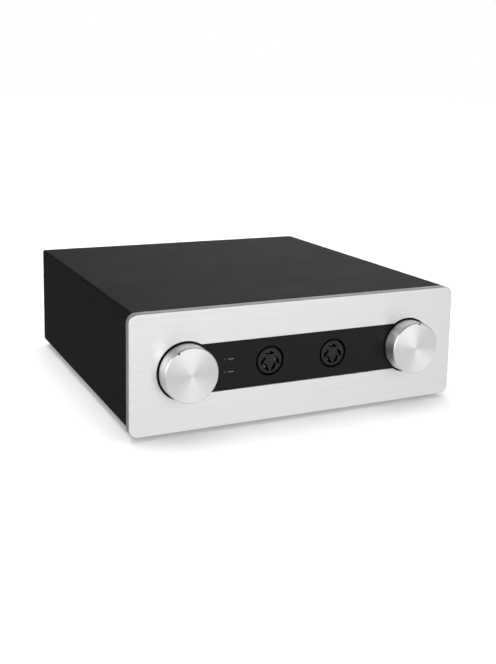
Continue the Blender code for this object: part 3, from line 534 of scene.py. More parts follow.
def circuit_laminate():
    """Green solder mask with faint copper tracks under it."""
    made = Finish("circuit_laminate", (0.012, 0.095, 0.040), 0.38)
    tracks = made.node("ShaderNodeTexBrick")
    tracks.inputs["Scale"].default_value = 130
    tracks.inputs["Color1"].default_value = (1, 1, 1, 1)
    tracks.inputs["Color2"].default_value = (0.75, 0.75, 0.75, 1)
    tracks.inputs["Mortar"].default_value = (0, 0, 0, 1)
    made.link(made.place(), tracks.inputs["Vector"])
    tone = made.node("ShaderNodeSeparateColor")
    made.link(tracks.outputs["Color"], tone.inputs["Color"])
    made.vary_colour(tone.outputs["Red"], 0.7, 1.25)
    made.relief(tone.outputs["Red"], 0.03 * MM, 0.6)
    return made.material


def wound_tape():
    """Overlapping turns of polyester tape round a ring core."""
    made = Finish("wound_tape", (0.46, 0.34, 0.07), 0.28, 0.0, Coat_Weight=0.4)
    wave = made.node("ShaderNodeTexWave", wave_type="BANDS", bands_direction="DIAGONAL")
    wave.inputs["Scale"].default_value = 55
    wave.inputs["Distortion"].default_value = 1.5
    made.link(made.place(), wave.inputs["Vector"])
    made.vary_colour(wave.outputs["Fac"], 0.75, 1.15)
    made.relief(wave.outputs["Fac"], 0.15 * MM, 0.6)
    return made.material


def clear_lens():
    made = Finish("clear_lens", (0.09, 0.09, 0.10), 0.2, 0.0, Transmission_Weight=0.35)
    made.vary_roughness(made.noise(2, even(800)), 0.12, 0.25)
    return made.material


def printed_ink():
    made = Finish("printed_ink", even(0.14), 0.6)
    grain = made.noise(2, even(5000))
    made.vary_colour(grain, 0.85, 1.1)
    return made.material


ALUMINIUM = brushed_aluminium()
SPUN = spun_aluminium()
PAINT = powder_coat()
ACRYLIC = satin_acrylic()
PLASTIC = moulded("moulded_black", even(0.010), 0.42)
SOCKET_PLASTIC = moulded("socket_black", even(0.002), 0.5, 0.5)
RUBBER = moulded("foot_rubber", (0.014, 0.014, 0.015), 0.78, 0.6, 0.05)
# A near-black, almost unreflecting finish: painted shade for the floor of each socket's groove.
GROOVE_SHADE = moulded("socket_groove_shade", even(0.001), 0.8, 0.5, Specular_IOR_Level=0.05)
SLEEVE = moulded("lead_sleeve", (0.02, 0.02, 0.022), 0.5, 0.5)
CAN = moulded("capacitor_sleeve", (0.010, 0.016, 0.05), 0.3, 0.8, 0.01)
WHITE_PLASTIC = moulded("white_insulator", (0.62, 0.62, 0.60), 0.4)
RED_PLASTIC = moulded("red_insulator", (0.45, 0.02, 0.02), 0.4)
NICKEL = plated("nickel_plate", (0.62, 0.61, 0.60), 0.24)
BLACK_STEEL = plated("black_oxide", (0.035, 0.035, 0.037), 0.38)
ANODISED = plated("black_anodised", (0.025, 0.025, 0.027), 0.42)
GOLD = plated("gold_plate", (0.83, 0.58, 0.22), 0.20)
ZINC = zinc_sheet()
LAMINATE = circuit_laminate()
TAPE = wound_tape()
LENS = clear_lens()
INK = printed_ink()


# ------ front

KNOB_X = KNOBS["volume"].x
WELL_RADIUS = size_of("front_window").x / 2 - KNOB_X + GAP  # of the opening about each knob
BAND_HEIGHT = 34.3 * MM  # of the opening between the knobs
SOCKET_WELL = 10.8 * MM  # radius of the window's hole for a headphone socket
KNOB_HOLE = 9 * MM  # and for the nut behind a knob
LED_RADIUS = 0.75 * MM


def add_front_panel():
    width, thickness, height = size_of("front_panel")
    middle = (0, centre_of("front_panel").z - AXIS_Z)

    def opening(inset):
        return dumbbell(KNOB_X, WELL_RADIUS + inset, BAND_HEIGHT + 2 * inset)

    panel = plate(
        "panel_face",
        box_edge(width, height, 6.5 * MM, 20, middle),
        [opening],
        thickness,
        (0, FACE_Y, AXIS_Z),
        FACING_FRONT,
        rim=chamfer(0.35 * MM),
        hole_rim=chamfer(0.15 * MM),
        back=chamfer(0.25 * MM),
    )
    add(panel, ALUMINIUM, stands_for="front_panel")


def add_front_window():
    def edge(inset):
        return dumbbell(KNOB_X, WELL_RADIUS - GAP - inset, BAND_HEIGHT - 2 * (GAP + inset))

    holes = [round_hole((x, 0), KNOB_HOLE, 64) for x in (-KNOB_X, KNOB_X)]
    holes += [round_hole((spot.x, 0), SOCKET_WELL, 96) for spot in SOCKETS.values()]
    for name in INDICATORS:
        led = centre_of(f"indicator_{name}")
        holes.append(round_hole((led.x, led.z - AXIS_Z), LED_RADIUS + GAP / 2, 24))
    window = plate(
        "window_face",
        edge,
        holes,
        size_of("front_window").y,
        (0, WINDOW_Y, AXIS_Z),
        FACING_FRONT,
        rim=chamfer(0.15 * MM),
        hole_rim=rounding(0.12 * MM, 2),
    )
    add(window, ACRYLIC, stands_for="front_window")


def add_knob(name, pointer_degrees):
    """A turned knob with a crisp rim, a pointer notch darkened with painted shade, and the grub hole
    under its skirt.
    """
    centre = KNOBS[name]
    reach, back = FACE_Y - KNOB_FRONT, FACE_Y - KNOB_BACK
    rim, skirt, bore, hub, wall = 0.5 * MM, 0.2 * MM, 3.2 * MM, 7 * MM, 2 * MM
    hollow, bore_end = back + 3.2 * MM, 9 * MM
    crown, crown_steps, face_radius = 0.35 * MM, 8, KNOB_RADIUS - rim
    shares = [i / crown_steps for i in range(crown_steps + 1)]
    profile = [(face_radius * share, reach - crown * share**2) for share in shares]
    profile += [
        (KNOB_RADIUS, reach - rim - crown),
        (KNOB_RADIUS, back + skirt),
        (KNOB_RADIUS - skirt, back),
        (KNOB_RADIUS - wall, back),
        (KNOB_RADIUS - wall, hollow),
        (hub, hollow),
        (hub, back),
        (bore, back),
        (bore, bore_end),
        (0, bore_end),
    ]
    axis = (centre.x, FACE_Y, centre.z)
    knob = turned(f"{name}_knob_turned", profile, axis, FACING_FRONT, 160)
    grub = centre_of(f"{name}_grub_screw")
    hole_radius = size_of(f"{name}_grub_screw").x / 2 + 0.2 * MM
    hole_top = centre.z - bore + 0.5 * MM
    hole_deep = KNOB_RADIUS - bore + 2 * MM
    grub_hole = drill(hole_radius, hole_deep, (grub.x, grub.y, hole_top), 32)
    turn = math.radians(pointer_degrees)
    notch_width, notch_length, notch_deep = 1.6 * MM, 1.4 * MM, 0.8 * MM
    outwards = KNOB_RADIUS * Vector((math.sin(turn), 0, math.cos(turn)))
    notch = block(
        "pointer_notch",
        (notch_width, 2 * notch_deep, 2 * notch_length),
        Vector((centre.x, KNOB_FRONT, centre.z)) + outwards,
        Matrix.Rotation(turn, 4, "Y"),
    )
    combine(knob, "DIFFERENCE", [grub_hole, notch])
    add(knob, SPUN, f"{name}_control", f"{name}_knob")
    # A near-black block on the notch's floor is painted shade, which darkens the notch.
    shade_deep, edge_gap, sunk = 0.3 * MM, 0.25 * MM, 0.02 * MM
    notch_shade = block(
        f"{name}_pointer_shade",
        (notch_width, shade_deep, notch_length - edge_gap),
        Vector((centre.x, KNOB_FRONT + notch_deep - shade_deep / 2 + sunk, centre.z))
        + outwards * (1 - (notch_length + edge_gap) / 2 / KNOB_RADIUS),
        Matrix.Rotation(turn, 4, "Y"),
    )
    add(notch_shade, PAINT, f"{name}_control")


def add_indicators():
    """Light pipes with domed ends, each with a plain printed bar beside it."""
    dome_rise, ink = 0.25 * MM, 0.02 * MM
    bar_length, bar_height, bar_shift = 4.4 * MM, 0.8 * MM, 4.4 * MM
    for name in INDICATORS:
        spot = centre_of(f"indicator_{name}")
        width, length, _ = size_of(f"indicator_{name}")
        flange, flange_start = width / 2, 2.4 * MM
        angles = [math.radians(a) for a in range(0, 91, 15)]
        profile = [
            *((LED_RADIUS * math.sin(a), -dome_rise * (1 - math.cos(a))) for a in angles),
            (LED_RADIUS, flange_start - length),
            (flange, flange_start - length),
            (flange, -length),
            (0, -length),
        ]
        end = (spot.x, spot.y - length / 2, spot.z)
        pipe = turned(f"light_pipe_{name}", profile, end, FACING_FRONT, 32)
        add(pipe, LENS, stands_for=f"indicator_{name}")
        outline = capsule(bar_length, bar_height, (0, 0), 0)
        bar_place = (spot.x + bar_shift, WINDOW_Y - ink, spot.z)
        bar = prism(f"indicator_bar_{name}", outline, ink, bar_place, FACING_FRONT)
        add(bar, INK)


def add_headphone_socket(side):
    """A five-pole socket: a round face in a dark ring whose floor is painted shade, with a contact
    in each slot.
    """
    centre = SOCKETS[side]
    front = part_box(f"headphone_socket_{side}")[0].y
    width, length, _ = size_of(f"headphone_socket_{side}")
    face_radius, flange_radius, body_radius = 9.5 * MM, width / 2, 10 * MM
    flange_top, flange_end = -8.1 * MM, -10.6 * MM
    raised, raised_end, margin = face_radius - 0.3 * MM, -2.5 * MM, 0.7 * MM
    profile = [
        (0, 0),
        (raised - margin, 0),
        *((raised - inset, -drop) for inset, drop in rounding(0.4 * MM, 4)),
        (raised, raised_end),
        (face_radius, raised_end),
        (face_radius, flange_top),
        (flange_radius, flange_top),
        (flange_radius, flange_end),
        (body_radius, flange_end),
        (body_radius, -length),
        (0, -length),
    ]
    axis = (centre.x, front, centre.z)
    socket = turned(f"socket_{side}", profile, axis, FACING_FRONT, 128)
    ring, slot_length, slot_width, deep = 5.3 * MM, 6.4 * MM, 1.7 * MM, 11 * MM
    key_shift, key_radius, key_rise, step = 0.5 * MM, 1.3 * MM, 0.2 * MM, 0.4 * MM
    spring_length, spring_width, spring_deep, spring_top = 1.8 * MM, 0.5 * MM, 6 * MM, 2.8 * MM
    cutters, springs = [], []
    above = (centre.x, front - 1 * MM, centre.z)
    inside = (centre.x, front + spring_top, centre.z)
    for place_angle, lean in ((90, 0), (0, 120), (180, 60), (240, 120), (300, 60)):
        deep -= step  # no two slots end at one level, which keeps the cuts clean
        angle = math.radians(place_angle)
        middle = (ring * math.cos(angle), ring * math.sin(angle))
        outer = ((ring + key_shift) * math.cos(angle), (ring + key_shift) * math.sin(angle))
        slot = capsule(slot_length, slot_width, middle, lean)
        key = circle(outer, key_radius, 24)
        spring = capsule(spring_length, spring_width, middle, lean)
        cutters.append(prism("slot", slot, deep, above, FACING_FRONT))
        cutters.append(prism("key", key, deep - key_rise, above, FACING_FRONT))
        springs.append(prism("spring", spring, spring_deep, inside, FACING_FRONT))
    combine(socket, "DIFFERENCE", cutters)
    add(socket, SOCKET_PLASTIC, stands_for=f"headphone_socket_{side}")
    contacts = merged(f"socket_contacts_{side}", springs)
    add(contacts, NICKEL)
    # A ring at the floor of the groove round the socket's face, finished as painted shade of the
    # gap.
    inner, outer = face_radius + 0.1 * MM, SOCKET_WELL - 0.1 * MM
    groove_shade_top, groove_shade_end = -2.9 * MM, -5.4 * MM
    groove_shade_profile = [
        (inner, groove_shade_top),
        *((outer - inset, groove_shade_top - drop) for inset, drop in rounding(0.3 * MM, 3)),
        (outer, groove_shade_end),
        (inner, groove_shade_end),
    ]
    groove_shade = turned(f"socket_groove_shade_{side}", groove_shade_profile, axis, FACING_FRONT, 96, closed=True)
    add(groove_shade, GROOVE_SHADE)


# ------ case


def cover_outline(inset):
    """The folded sheet seen from the front: its outer skin, then its inner skin back again."""
    sheet, bend, least_bend, lip = 1.5 * MM, 2 * MM, 0.1 * MM, 14 * MM
    points = []
    for depth, forwards in ((inset, True), (sheet - inset, False)):
        left, right = CASE_LOW.x + depth, CASE_HIGH.x - depth
        bottom, top = CASE_LOW.z - AXIS_Z + depth, CASE_HIGH.z - AXIS_Z - depth
        r = max(bend - depth, least_bend)
        tip = CASE_LOW.x + lip - inset
        skin = [(tip, bottom)]
        skin += arc((left + r, bottom + r), r, 270, 180, 8)
        skin += arc((left + r, top - r), r, 180, 90, 8)
        skin += arc((right - r, top - r), r, 90, 0, 8)
        skin += arc((right - r, bottom + r), r, 0, -90, 8)
        skin.append((-tip, bottom))
        points += skin if forwards else skin[::-1]
    return points


def add_top_cover():
    cover = plate(
        "cover_folded",
        cover_outline,
        [],
        CASE_HIGH.y - CASE_LOW.y,
        (0, CASE_LOW.y, AXIS_Z),
        FACING_FRONT,
        rim=rounding(0.3 * MM, 2),
        back=rounding(0.3 * MM, 2),
    )
    hole_radius, hole_deep, hole_top = 1.7 * MM, 4 * MM, CASE_LOW.z + 2.5 * MM
    holes = []
    for end in ENDS:
        for side in SIDES:
            spot = centre_of(f"cover_screw_{end}_{side}")
            holes.append(drill(hole_radius, hole_deep, (spot.x, spot.y, hole_top), 24))
    combine(cover, "DIFFERENCE", holes)
    add(cover, PAINT, stands_for="top_cover")


def add_bolt(name, node, shank, head, recess, recess_deep, finish, slot_name):
    """A bolt driven from below. Its head is radius and height pairs above its lowest point."""
    low, length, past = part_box(node)[0], size_of(node).z, 1 * MM
    centre = centre_of(node)
    place = (centre.x, centre.y, low.z)
    profile = [(0, length), (shank, length), (shank, head[0][1]), *head, (0, 0)]
    bolt = turned(name, profile, place, steps=48)
    hexagon = circle((0, 0), recess, 6)
    top = (centre.x, centre.y, low.z + recess_deep)
    combine(bolt, "DIFFERENCE", [prism("recess", hexagon, recess_deep + past, top)])
    add(bolt, finish, stands_for=node)


FOOT_BOLT_HEAD = [(3.9 * MM, 2.1 * MM), (4.2 * MM, 1.8 * MM), (4.2 * MM, 0.4 * MM), (3.8 * MM, 0)]
COVER_BOLT_HEAD = [(2.8 * MM, 1.6 * MM), (2.7 * MM, 0.9 * MM), (2.3 * MM, 0.3 * MM), (1.6 * MM, 0)]
BOLTS = {
    "foot": (2 * MM, FOOT_BOLT_HEAD, 1.25 * MM, 1.2 * MM, NICKEL, "bright_steel"),
    "cover": (1.5 * MM, COVER_BOLT_HEAD, 0.95 * MM, 0.9 * MM, BLACK_STEEL, "black_steel"),
}


def add_rubber_foot(name, node):
    centre, (width, _, height) = centre_of(node), size_of(node)
    radius = width / 2
    bore, well, well_deep, well_rim = 2.3 * MM, 4.5 * MM, 3 * MM, 0.4 * MM
    profile = [
        (bore, height),
        *((radius - inset, height - drop) for inset, drop in rounding(0.6 * MM, 3)),
        *((radius - inset, drop) for inset, drop in reversed(rounding(1.6 * MM, 5))),
        (well + well_rim, 0),
        (well, well_rim),
        (well, well_deep),
        (bore, well_deep),
    ]
    foot = turned(name, profile, (centre.x, centre.y, 0), steps=80, closed=True)
    add(foot, RUBBER, stands_for=node)


def add_underside():
    for end in ENDS:
        for side in SIDES:
            corner = f"{end}_{side}"
            add_rubber_foot(f"rubber_foot_{corner}", f"foot_{corner}")
            for use, bolt in BOLTS.items():
                add_bolt(f"{use}_bolt_{corner}", f"{use}_screw_{corner}", *bolt)


# ------ rear


def behind(spot, reach):
    """A place in line with a spot, a reach outwards from the rear panel's face."""
    return Vector((spot.x, REAR_Y + reach, spot.z))


def on_rear(spot):
    """Where a spot is on the rear panel's outline, whose X runs the other way."""
    return -spot.x, spot.z - AXIS_Z


def square_hole(spot, width, height):
    return lambda inset: rounded_box(
        width + 2 * inset, height + 2 * inset, HOLE_CORNER, 6, on_rear(spot)
    )


def rear_box(name, size, corner, steps, place, rim, holes=(), middle=(0, 0)):
    """A rounded box with its face at a place. Its size is width, height and depth."""
    width, height, depth = size
    edge = box_edge(width, height, corner, steps, middle)
    return plate(name, edge, holes, depth, place, FACING_REAR, rim)


INLET = centre_of("mains_inlet")
SWITCH = centre_of("power_switch_frame")
BALANCED = {side: centre_of(f"balanced_input_{side}") for side in SIDES}
PHONO = [f"line_{way}_{side}" for way in ("input", "output") for side in SIDES]
LATCH = {side: centre_of(f"release_tab_{side}") for side in SIDES}
LATCH_WIDTH, LATCH_HEIGHT = 7.6 * MM + 2 * GAP, 3.4 * MM + 2 * GAP  # of the notch for a release tab
BARREL_RADIUS = 11.6 * MM
HOLE_CORNER = 1 * MM


def add_rear_panel():
    width, thickness, height = size_of("rear_panel")
    middle = (0, centre_of("rear_panel").z - AXIS_Z)
    holes = [square_hole(INLET, 29 * MM, 31 * MM), square_hole(SWITCH, 19.6 * MM, 27.6 * MM)]
    holes += [round_hole(on_rear(spot), BARREL_RADIUS + GAP, 96) for spot in BALANCED.values()]
    holes += [round_hole(on_rear(centre_of(node)), 3.6 * MM) for node in PHONO]
    size, place = (width, height, thickness), (0, REAR_Y, AXIS_Z)
    panel = rear_box("rear_sheet", size, 2 * MM, 8, place, chamfer(0.15 * MM), holes, middle)
    notch_size = (LATCH_WIDTH, 12 * MM, LATCH_HEIGHT)
    notches = [block("notch", notch_size, behind(spot, 0)) for spot in LATCH.values()]
    combine(panel, "DIFFERENCE", notches)
    add(panel, PAINT, stands_for="rear_panel")


def flange_screw(place, radius):
    """A countersunk cross-head screw, flush in a flange."""
    lip, point, sunk = 0.1 * MM, 0.5 * radius, 0.6 * radius
    profile = [(0, 0), (radius - lip, 0), (radius, -lip), (point, -sunk), (0, -sunk)]
    screw = turned("screw", profile, place, FACING_REAR, 40)
    length, width, deep = radius * 1.2, radius * 0.26, radius * 0.5
    sizes = ((length, width, deep), (width, length, deep))
    combine(screw, "DIFFERENCE", [block("cross", size, place, FACING_REAR) for size in sizes])
    return screw


def add_mains_inlet():
    low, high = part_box("mains_inlet")
    face, depth = high.y - REAR_Y, high.y - low.y
    flange_thick, overlap = 3 * MM, 1.5 * MM
    screw_x, screw_radius, sink_radius = 20 * MM, 2.7 * MM, 2.9 * MM
    sinks = [round_hole((x, 0), sink_radius, 32) for x in (-screw_x, screw_x)]
    size, place = (50 * MM, 34 * MM, flange_thick), behind(INLET, face)
    flange = rear_box("inlet", size, 4 * MM, 10, place, rounding(0.8 * MM, 4), sinks)
    body_size = (28.2 * MM, 30.2 * MM, depth - flange_thick + overlap)
    body_place = behind(INLET, face - depth + body_size[2] / 2)
    combine(flange, "UNION", [block("body", body_size, body_place, FACING_REAR)])

    def mouth_edge(inset):
        cut = 3.5 * MM
        w, l, h = 12.2 * MM + inset, -3.4 * MM - inset, 13 * MM + inset
        return [(-w, l), (w, l), (w, h - cut), (w - cut, h), (cut - w, h), (-w, h - cut)]

    mouth_deep, drawer_deep, entry, outside = 15.3 * MM, 21 * MM, 0.5 * MM, 1 * MM
    drawer_edge = rounded_box(21 * MM, 8 * MM, 0.5 * MM, 4, (0, -9.6 * MM))
    above = behind(INLET, face + outside)
    spaces = ((mouth_edge(0), mouth_deep), (mouth_edge(entry), entry), (drawer_edge, drawer_deep))
    cutters = [
        prism("space", outline, deep + outside, above, FACING_REAR) for outline, deep in spaces
    ]
    combine(flange, "DIFFERENCE", cutters)
    add(flange, PLASTIC, stands_for="mains_inlet")

    size, place = (2 * MM, 4 * MM, 10.5 * MM), behind(INLET, face - 5.5 * MM)
    blades = [
        rear_box("blade", size, 0.5 * MM, 4, place, rounding(0.4 * MM, 3), middle=spot)
        for spot in ((-7 * MM, 2.8 * MM), (7 * MM, 2.8 * MM), (0, 6.8 * MM))
    ]
    add(merged("inlet_blades", blades), NICKEL)
    middle = behind(INLET, face - 0.2 * MM)
    screws = [
        flange_screw(middle + Vector((x, 0, 0)), screw_radius) for x in (-screw_x, screw_x)
    ]
    add(merged("inlet_screws", screws), BLACK_STEEL)


def add_fuse_drawer():
    high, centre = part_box("fuse_drawer")[1], centre_of("fuse_drawer")
    width, length, height = size_of("fuse_drawer")
    size, place = (width, height, length), (centre.x, high.y, centre.z)
    rim = rounding(0.4 * MM, 3)
    drawer = rear_box("fuse_drawer_moulded", size, 0.6 * MM, 4, place, rim)
    grip_deep, outside, grip_drop = 1.6 * MM, 1 * MM, 1.3 * MM
    grip_place = (centre.x, high.y + outside, high.z - grip_drop)
    grip_edge = capsule(9 * MM, 2.4 * MM, (0, 0), 0)
    grip = prism("grip", grip_edge, grip_deep + outside, grip_place, FACING_REAR)
    combine(drawer, "DIFFERENCE", [grip])
    add(drawer, PLASTIC, "fuse_drawer", "fuse_drawer")


def add_power_switch():
    low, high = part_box("power_switch_frame")
    face, depth = high.y - REAR_Y, high.y - low.y
    flange_thick, overlap = 2 * MM, 1 * MM
    size, place = (22 * MM, 30 * MM, flange_thick), behind(SWITCH, face)
    frame_piece = rear_box("switch_frame", size, 1.5 * MM, 6, place, rounding(0.6 * MM, 4))
    body_size = (19 * MM, 27 * MM, depth - flange_thick + overlap)
    body_place = behind(SWITCH, face - depth + body_size[2] / 2)
    combine(frame_piece, "UNION", [block("body", body_size, body_place, FACING_REAR)])
    cavity_size = (14.6 * MM, 24 * MM, 26 * MM)
    combine(frame_piece, "DIFFERENCE", [block("cavity", cavity_size, place, FACING_REAR)])
    add(frame_piece, PLASTIC, stands_for="power_switch_frame")


def add_power_rocker():
    """A rocker whose hollow front swings round the pin behind it."""
    half_length, end_rise, hollow_radius, hub_radius = 10.4 * MM, 4.2 * MM, 32 * MM, 5.4 * MM
    rest_tilt = math.radians(9)
    width = size_of("power_rocker").x
    sweep = math.degrees(math.asin(half_length / hollow_radius))
    rim = end_rise + hollow_radius * math.cos(math.radians(sweep))

    def rocker_edge(inset):
        outline = arc((0, rim), hollow_radius + inset, 270 - sweep, 270 + sweep, 24)
        outline += arc((0, 0), hub_radius - inset, 0, -180, 24)
        end_inset = inset / half_length
        outline = [(x * (1 - end_inset), y) for x, y in outline]
        c, s = math.cos(rest_tilt), math.sin(rest_tilt)
        return [(x * c - y * s, x * s + y * c) for x, y in outline]

    pin = Vector((SWITCH.x - width / 2, *joint_place("power_press")[1:]))
    upright = Matrix.Rotation(-math.pi / 2, 4, "Y")
    rounded = rounding(0.35 * MM, 3)
    rocker = plate("rocker_moulded", rocker_edge, [], width, pin, upright, rim=rounded, back=rounded)
    add(rocker, PLASTIC, "power_rocker", "power_rocker")


def add_balanced_input(side):
    """A three-pole input: a flange, a barrel with a round groove and pin holes, and two screws."""
    spot = BALANCED[side]
    low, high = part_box(f"balanced_input_{side}")
    ring_top, body_end = high.y - REAR_Y, low.y - REAR_Y
    face, flange_thick = 2 * MM + GAP, 2 * MM
    groove_deep, insert, insert_drop, insert_rim = -12 * MM, 7.4 * MM, 0.4 * MM, 0.6 * MM
    shell, shell_rim, sink_radius = 9.4 * MM, 0.5 * MM, 2.4 * MM
    screw_spots = [(-9.5 * MM, 12 * MM), (9.5 * MM, -12 * MM)]
    holes = [round_hole(screw_spot, sink_radius, 32) for screw_spot in screw_spots]
    holes.append(round_hole((0, 0), shell + 1 * MM, 64))
    size, place = (26 * MM, 31 * MM, flange_thick), behind(spot, face)
    rim = rounding(0.4 * MM, 3)
    flange = rear_box(f"balanced_flange_{side}", size, 2 * MM, 6, place, rim, holes)
    barrel_profile = [
        (0, face - insert_drop),
        (insert - insert_rim, face - insert_drop),
        (insert, face - insert_drop - insert_rim),
        (insert, groove_deep),
        (shell, groove_deep),
        (shell, ring_top - shell_rim),
        (shell + shell_rim, ring_top),
        *((BARREL_RADIUS - inset, ring_top - drop) for inset, drop in rounding(0.6 * MM, 4)),
        (BARREL_RADIUS, body_end),
        (0, body_end),
    ]
    barrel = turned("barrel", barrel_profile, behind(spot, 0), FACING_REAR, 96)
    combine(flange, "UNION", [barrel])
    outside = behind(spot, face + 1 * MM)
    pin_ring, pin_radius, pin_deep = 4.6 * MM, 1.4 * MM, 12 * MM
    cutters = []
    for angle in (math.radians(a) for a in (30, 150, 270)):
        middle = (pin_ring * math.cos(angle), pin_ring * math.sin(angle))
        pin_hole = circle(middle, pin_radius, 32)
        cutters.append(prism("pin_hole", pin_hole, pin_deep, outside, FACING_REAR))
    notch_size = (LATCH_WIDTH, 16 * MM, LATCH_HEIGHT)
    cutters.append(block("notch", notch_size, behind(LATCH[side], 0)))
    combine(flange, "DIFFERENCE", cutters)
    add(flange, PLASTIC, stands_for=f"balanced_input_{side}")
    middle, screw_radius = behind(spot, face - 0.15 * MM), 2.3 * MM
    screws = [flange_screw(middle + Vector((-x, 0, z)), screw_radius) for x, z in screw_spots]
    add(merged(f"balanced_screws_{side}", screws), NICKEL)


def add_release_tab(side):
    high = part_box(f"release_tab_{side}")[1]
    width, length, height = size_of(f"release_tab_{side}")
    size, place = (width, height, length), (LATCH[side].x, high.y, LATCH[side].z)
    rim = rounding(0.5 * MM, 3)
    tab = rear_box(f"release_tab_plated_{side}", size, 0.8 * MM, 5, place, rim)
    add(tab, NICKEL, f"release_tab_{side}", f"release_tab_{side}")


def add_phono_socket(node, ring_finish):
    """A gold-plated socket with a coloured insulator in its mouth and a round collar behind."""
    low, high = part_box(node)
    reach, tail = high.y - REAR_Y, low.y - REAR_Y
    collar = (high.x - low.x) / 2
    mouth, wall, tube, tube_foot, thread, pin = (r * MM for r in (1.65, 3.3, 4.15, 5.05, 3.2, 1.0))
    nut_face, foot_face, floor = 2.8 * MM, 3.8 * MM, 2 * MM
    lip, bevel, nut_bevel = 0.2 * MM, 0.3 * MM, 0.4 * MM
    profile = [
        (wall, reach - lip),
        (wall + lip, reach),
        (tube - bevel, reach),
        (tube, reach - bevel),
        (tube, foot_face + lip),
        (tube_foot, foot_face),
        (tube_foot, nut_face),
        (collar - nut_bevel, nut_face),
        (collar, nut_face - nut_bevel),
        (collar, GAP),
        (thread, GAP),
        (thread, tail),
        (pin, tail),
        (pin, floor),
        (wall, floor),
    ]
    place = behind(centre_of(node), 0)
    shell = turned(f"{node}_shell", profile, place, FACING_REAR, 72, closed=True)
    add(shell, GOLD, stands_for=node)
    sunk, insert_radius, insert_end = 0.6 * MM, 3.25 * MM, floor + 0.1 * MM
    insert_profile = [
        (mouth, reach - sunk),
        (insert_radius - 0.15 * MM, reach - sunk),
        (insert_radius, reach - sunk - bevel),
        (insert_radius, insert_end),
        (mouth, insert_end),
    ]
    insert = turned(f"{node}_insulator", insert_profile, place, FACING_REAR, 64, closed=True)
    add(insert, ring_finish)


# ------ build

add_front_panel()
add_front_window()
for name, pointer in (("selector", -30), ("volume", 8)):
    add_knob(name, pointer)
add_indicators()
for side in SIDES:
    add_headphone_socket(side)

add_top_cover()
add_underside()

add_rear_panel()
add_mains_inlet()
add_fuse_drawer()
add_power_switch()
add_power_rocker()
for side in SIDES:
    add_balanced_input(side)
    add_release_tab(side)
for node in PHONO:
    if node.endswith("left"):
        add_phono_socket(node, WHITE_PLASTIC)
    else:
        add_phono_socket(node, RED_PLASTIC)

INSIDE = {
    ZINC: ["sub_front", "chassis_base", "transformer_washer"],
    NICKEL: ["selector_nut", "volume_nut", "selector_shaft", "volume_shaft", "transformer_bolt"],
    BLACK_STEEL: ["selector_grub_screw", "volume_grub_screw"],
    PLASTIC: ["selector_switch", "volume_attenuator"],
    LAMINATE: ["socket_board", "indicator_board", "power_board", "amplifier_board"],
    TAPE: ["transformer"],
    CAN: [f"reservoir_capacitor_{number}" for number in (1, 2, 3, 4)],
    ANODISED: ["heatsink_left", "heatsink_right"],
    SLEEVE: ["mains_lead", "secondary_lead", "supply_lead"],
}
for finish, nodes in INSIDE.items():
    for node in nodes:
        frame["nodes"][node].data.materials.clear()
        frame["nodes"][node].data.materials.append(finish)


# ------ studio

# What smooth surfaces see: direction, cosines where the patch starts and is full, brightness.
STUDIO_PATCHES = [
    ((0.05, -0.70, -0.70), -0.20, 0.95, 0.65),  # the pale table ahead
    ((0.27, -0.91, 0.29), 0.84, 0.99, 1.15),  # a soft box ahead, a little to the right
    ((-0.74, -0.56, 0.35), 0.90, 0.96, 1.90),  # a narrow light ahead on the left
    ((-0.80, -0.35, 0.05), 0.90, 0.98, 0.90),  # and its dimmer lower end
    ((0.82, -0.55, 0.12), 0.76, 0.98, 0.26),  # a dim light ahead on the far right
    ((0.65, 0.68, 0.34), 0.70, 1.00, 0.18),  # the lit wall behind on the right
    ((0.45, 0.80, -0.40), 0.80, 0.98, 0.30),  # and its foot
    ((-0.80, 0.15, 0.58), 0.80, 0.99, 0.25),  # a dim light over the left side
    ((-0.45, 0.60, -0.66), 0.40, 0.90, 0.035),  # the table behind on the left
]
STUDIO_BASE = 0.010
TABLE_LIGHT = ((0, 0.26, 0.97), 0.86, 0.97, 5.0)  # what falls on the table, from above and behind
TABLE_BASE = 0.78
FLOOR_REACH = 30  # metres
FLOOR_DROP = 0.05 * MM  # keeps the floor out of the plane of the feet
FLOOR_GLOW = 0.22

# The photograph's camera, solved from its straight edges: where it is from the middle of the
# panel's lower front edge, and its turns in degrees.
CAMERA_OFFSET = Vector((-306.72, -554.27, 229.23)) * MM
CAMERA_TURNS = (80.673, -1.064, -25.162)
CAMERA_SENSOR, CAMERA_LENS, CAMERA_SHIFT = 36, 50.1, -0.1386


def add_floor():
    shape = bmesh.new()
    bmesh.ops.create_grid(shape, x_segments=2, y_segments=2, size=FLOOR_REACH)
    floor = built("floor", shape, (0, 0, TABLE_Z - FLOOR_DROP))
    floor.data.materials.append(floor_finish())
    floor.visible_glossy = False


def floor_finish():
    """A matt floor with a faint glow of its own, which keeps its shadows pale."""
    made = Finish("pale_floor", even(0.70), 0.9, 0.0, Specular_IOR_Level=0.0)
    made.set("Emission Color", (1, 1, 1, 1))
    made.set("Emission Strength", FLOOR_GLOW)
    return made.material


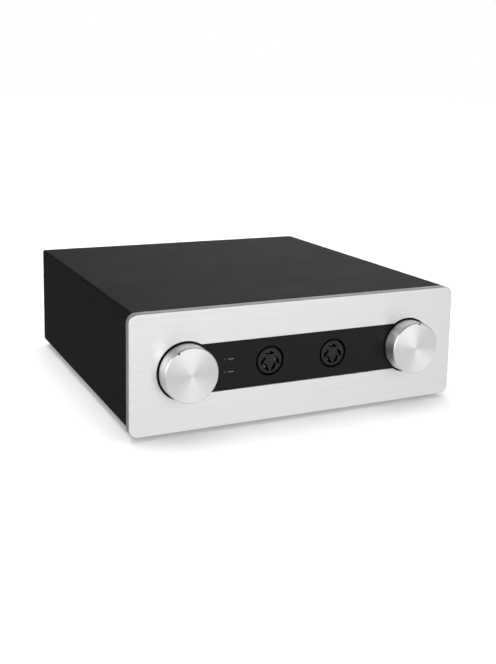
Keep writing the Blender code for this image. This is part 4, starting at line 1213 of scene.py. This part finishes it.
def add_world():
    """White to the camera, light from above to matt surfaces, and soft patches to smooth ones."""
    world = bpy.data.worlds.new("studio")
    bpy.context.scene.world = world
    world.use_nodes = True
    tree = world.node_tree
    background = tree.nodes["Background"]
    background.inputs["Strength"].default_value = 1.0

    coordinates = new_node(tree, "ShaderNodeTexCoord")

    def patch(direction, start, end, brightness):
        towards = new_node(tree, "ShaderNodeVectorMath", operation="DOT_PRODUCT")
        towards.inputs[1].default_value = Vector(direction).normalized()
        tree.links.new(coordinates.outputs["Generated"], towards.inputs[0])
        ramp = new_node(tree, "ShaderNodeMapRange", interpolation_type="SMOOTHSTEP")
        for socket, value in (("From Min", start), ("From Max", end), ("To Max", brightness)):
            ramp.inputs[socket].default_value = value
        tree.links.new(towards.outputs["Value"], ramp.inputs["Value"])
        return ramp.outputs["Result"]

    def mixed(low, high, factor):
        blend = new_node(tree, "ShaderNodeMix", data_type="FLOAT")
        for socket, value in (("A", low), ("B", high), ("Factor", factor)):
            if isinstance(value, float):
                blend.inputs[socket].default_value = value
            else:
                tree.links.new(value, blend.inputs[socket])
        return blend.outputs["Result"]

    def lit(base, patches):
        total = new_node(tree, "ShaderNodeValue").outputs["Value"]
        total.default_value = base
        for args in patches:
            added = new_node(tree, "ShaderNodeMath", operation="ADD")
            tree.links.new(total, added.inputs[0])
            tree.links.new(patch(*args), added.inputs[1])
            total = added.outputs["Value"]
        return total

    path = new_node(tree, "ShaderNodeLightPath")
    table = mixed(1.0, lit(TABLE_BASE, [TABLE_LIGHT]), path.outputs["Is Diffuse Ray"])
    shown = mixed(table, lit(STUDIO_BASE, STUDIO_PATCHES), path.outputs["Is Glossy Ray"])
    tree.links.new(shown, background.inputs["Color"])


def add_camera():
    camera_data = bpy.data.cameras.new("camera")
    camera_data.sensor_width = CAMERA_SENSOR
    camera_data.lens = CAMERA_LENS
    camera_data.shift_y = CAMERA_SHIFT
    camera_data.clip_start = 10 * MM
    camera = bpy.data.objects.new("camera", camera_data)
    camera.location = Vector((0, FACE_Y, PANEL_LOW.z)) + CAMERA_OFFSET
    camera.rotation_euler = [math.radians(turn) for turn in CAMERA_TURNS]
    bpy.context.scene.collection.objects.link(camera)
    bpy.context.scene.camera = camera


add_floor()
add_world()
add_camera()
bpy.context.scene.view_settings.view_transform = "Standard"
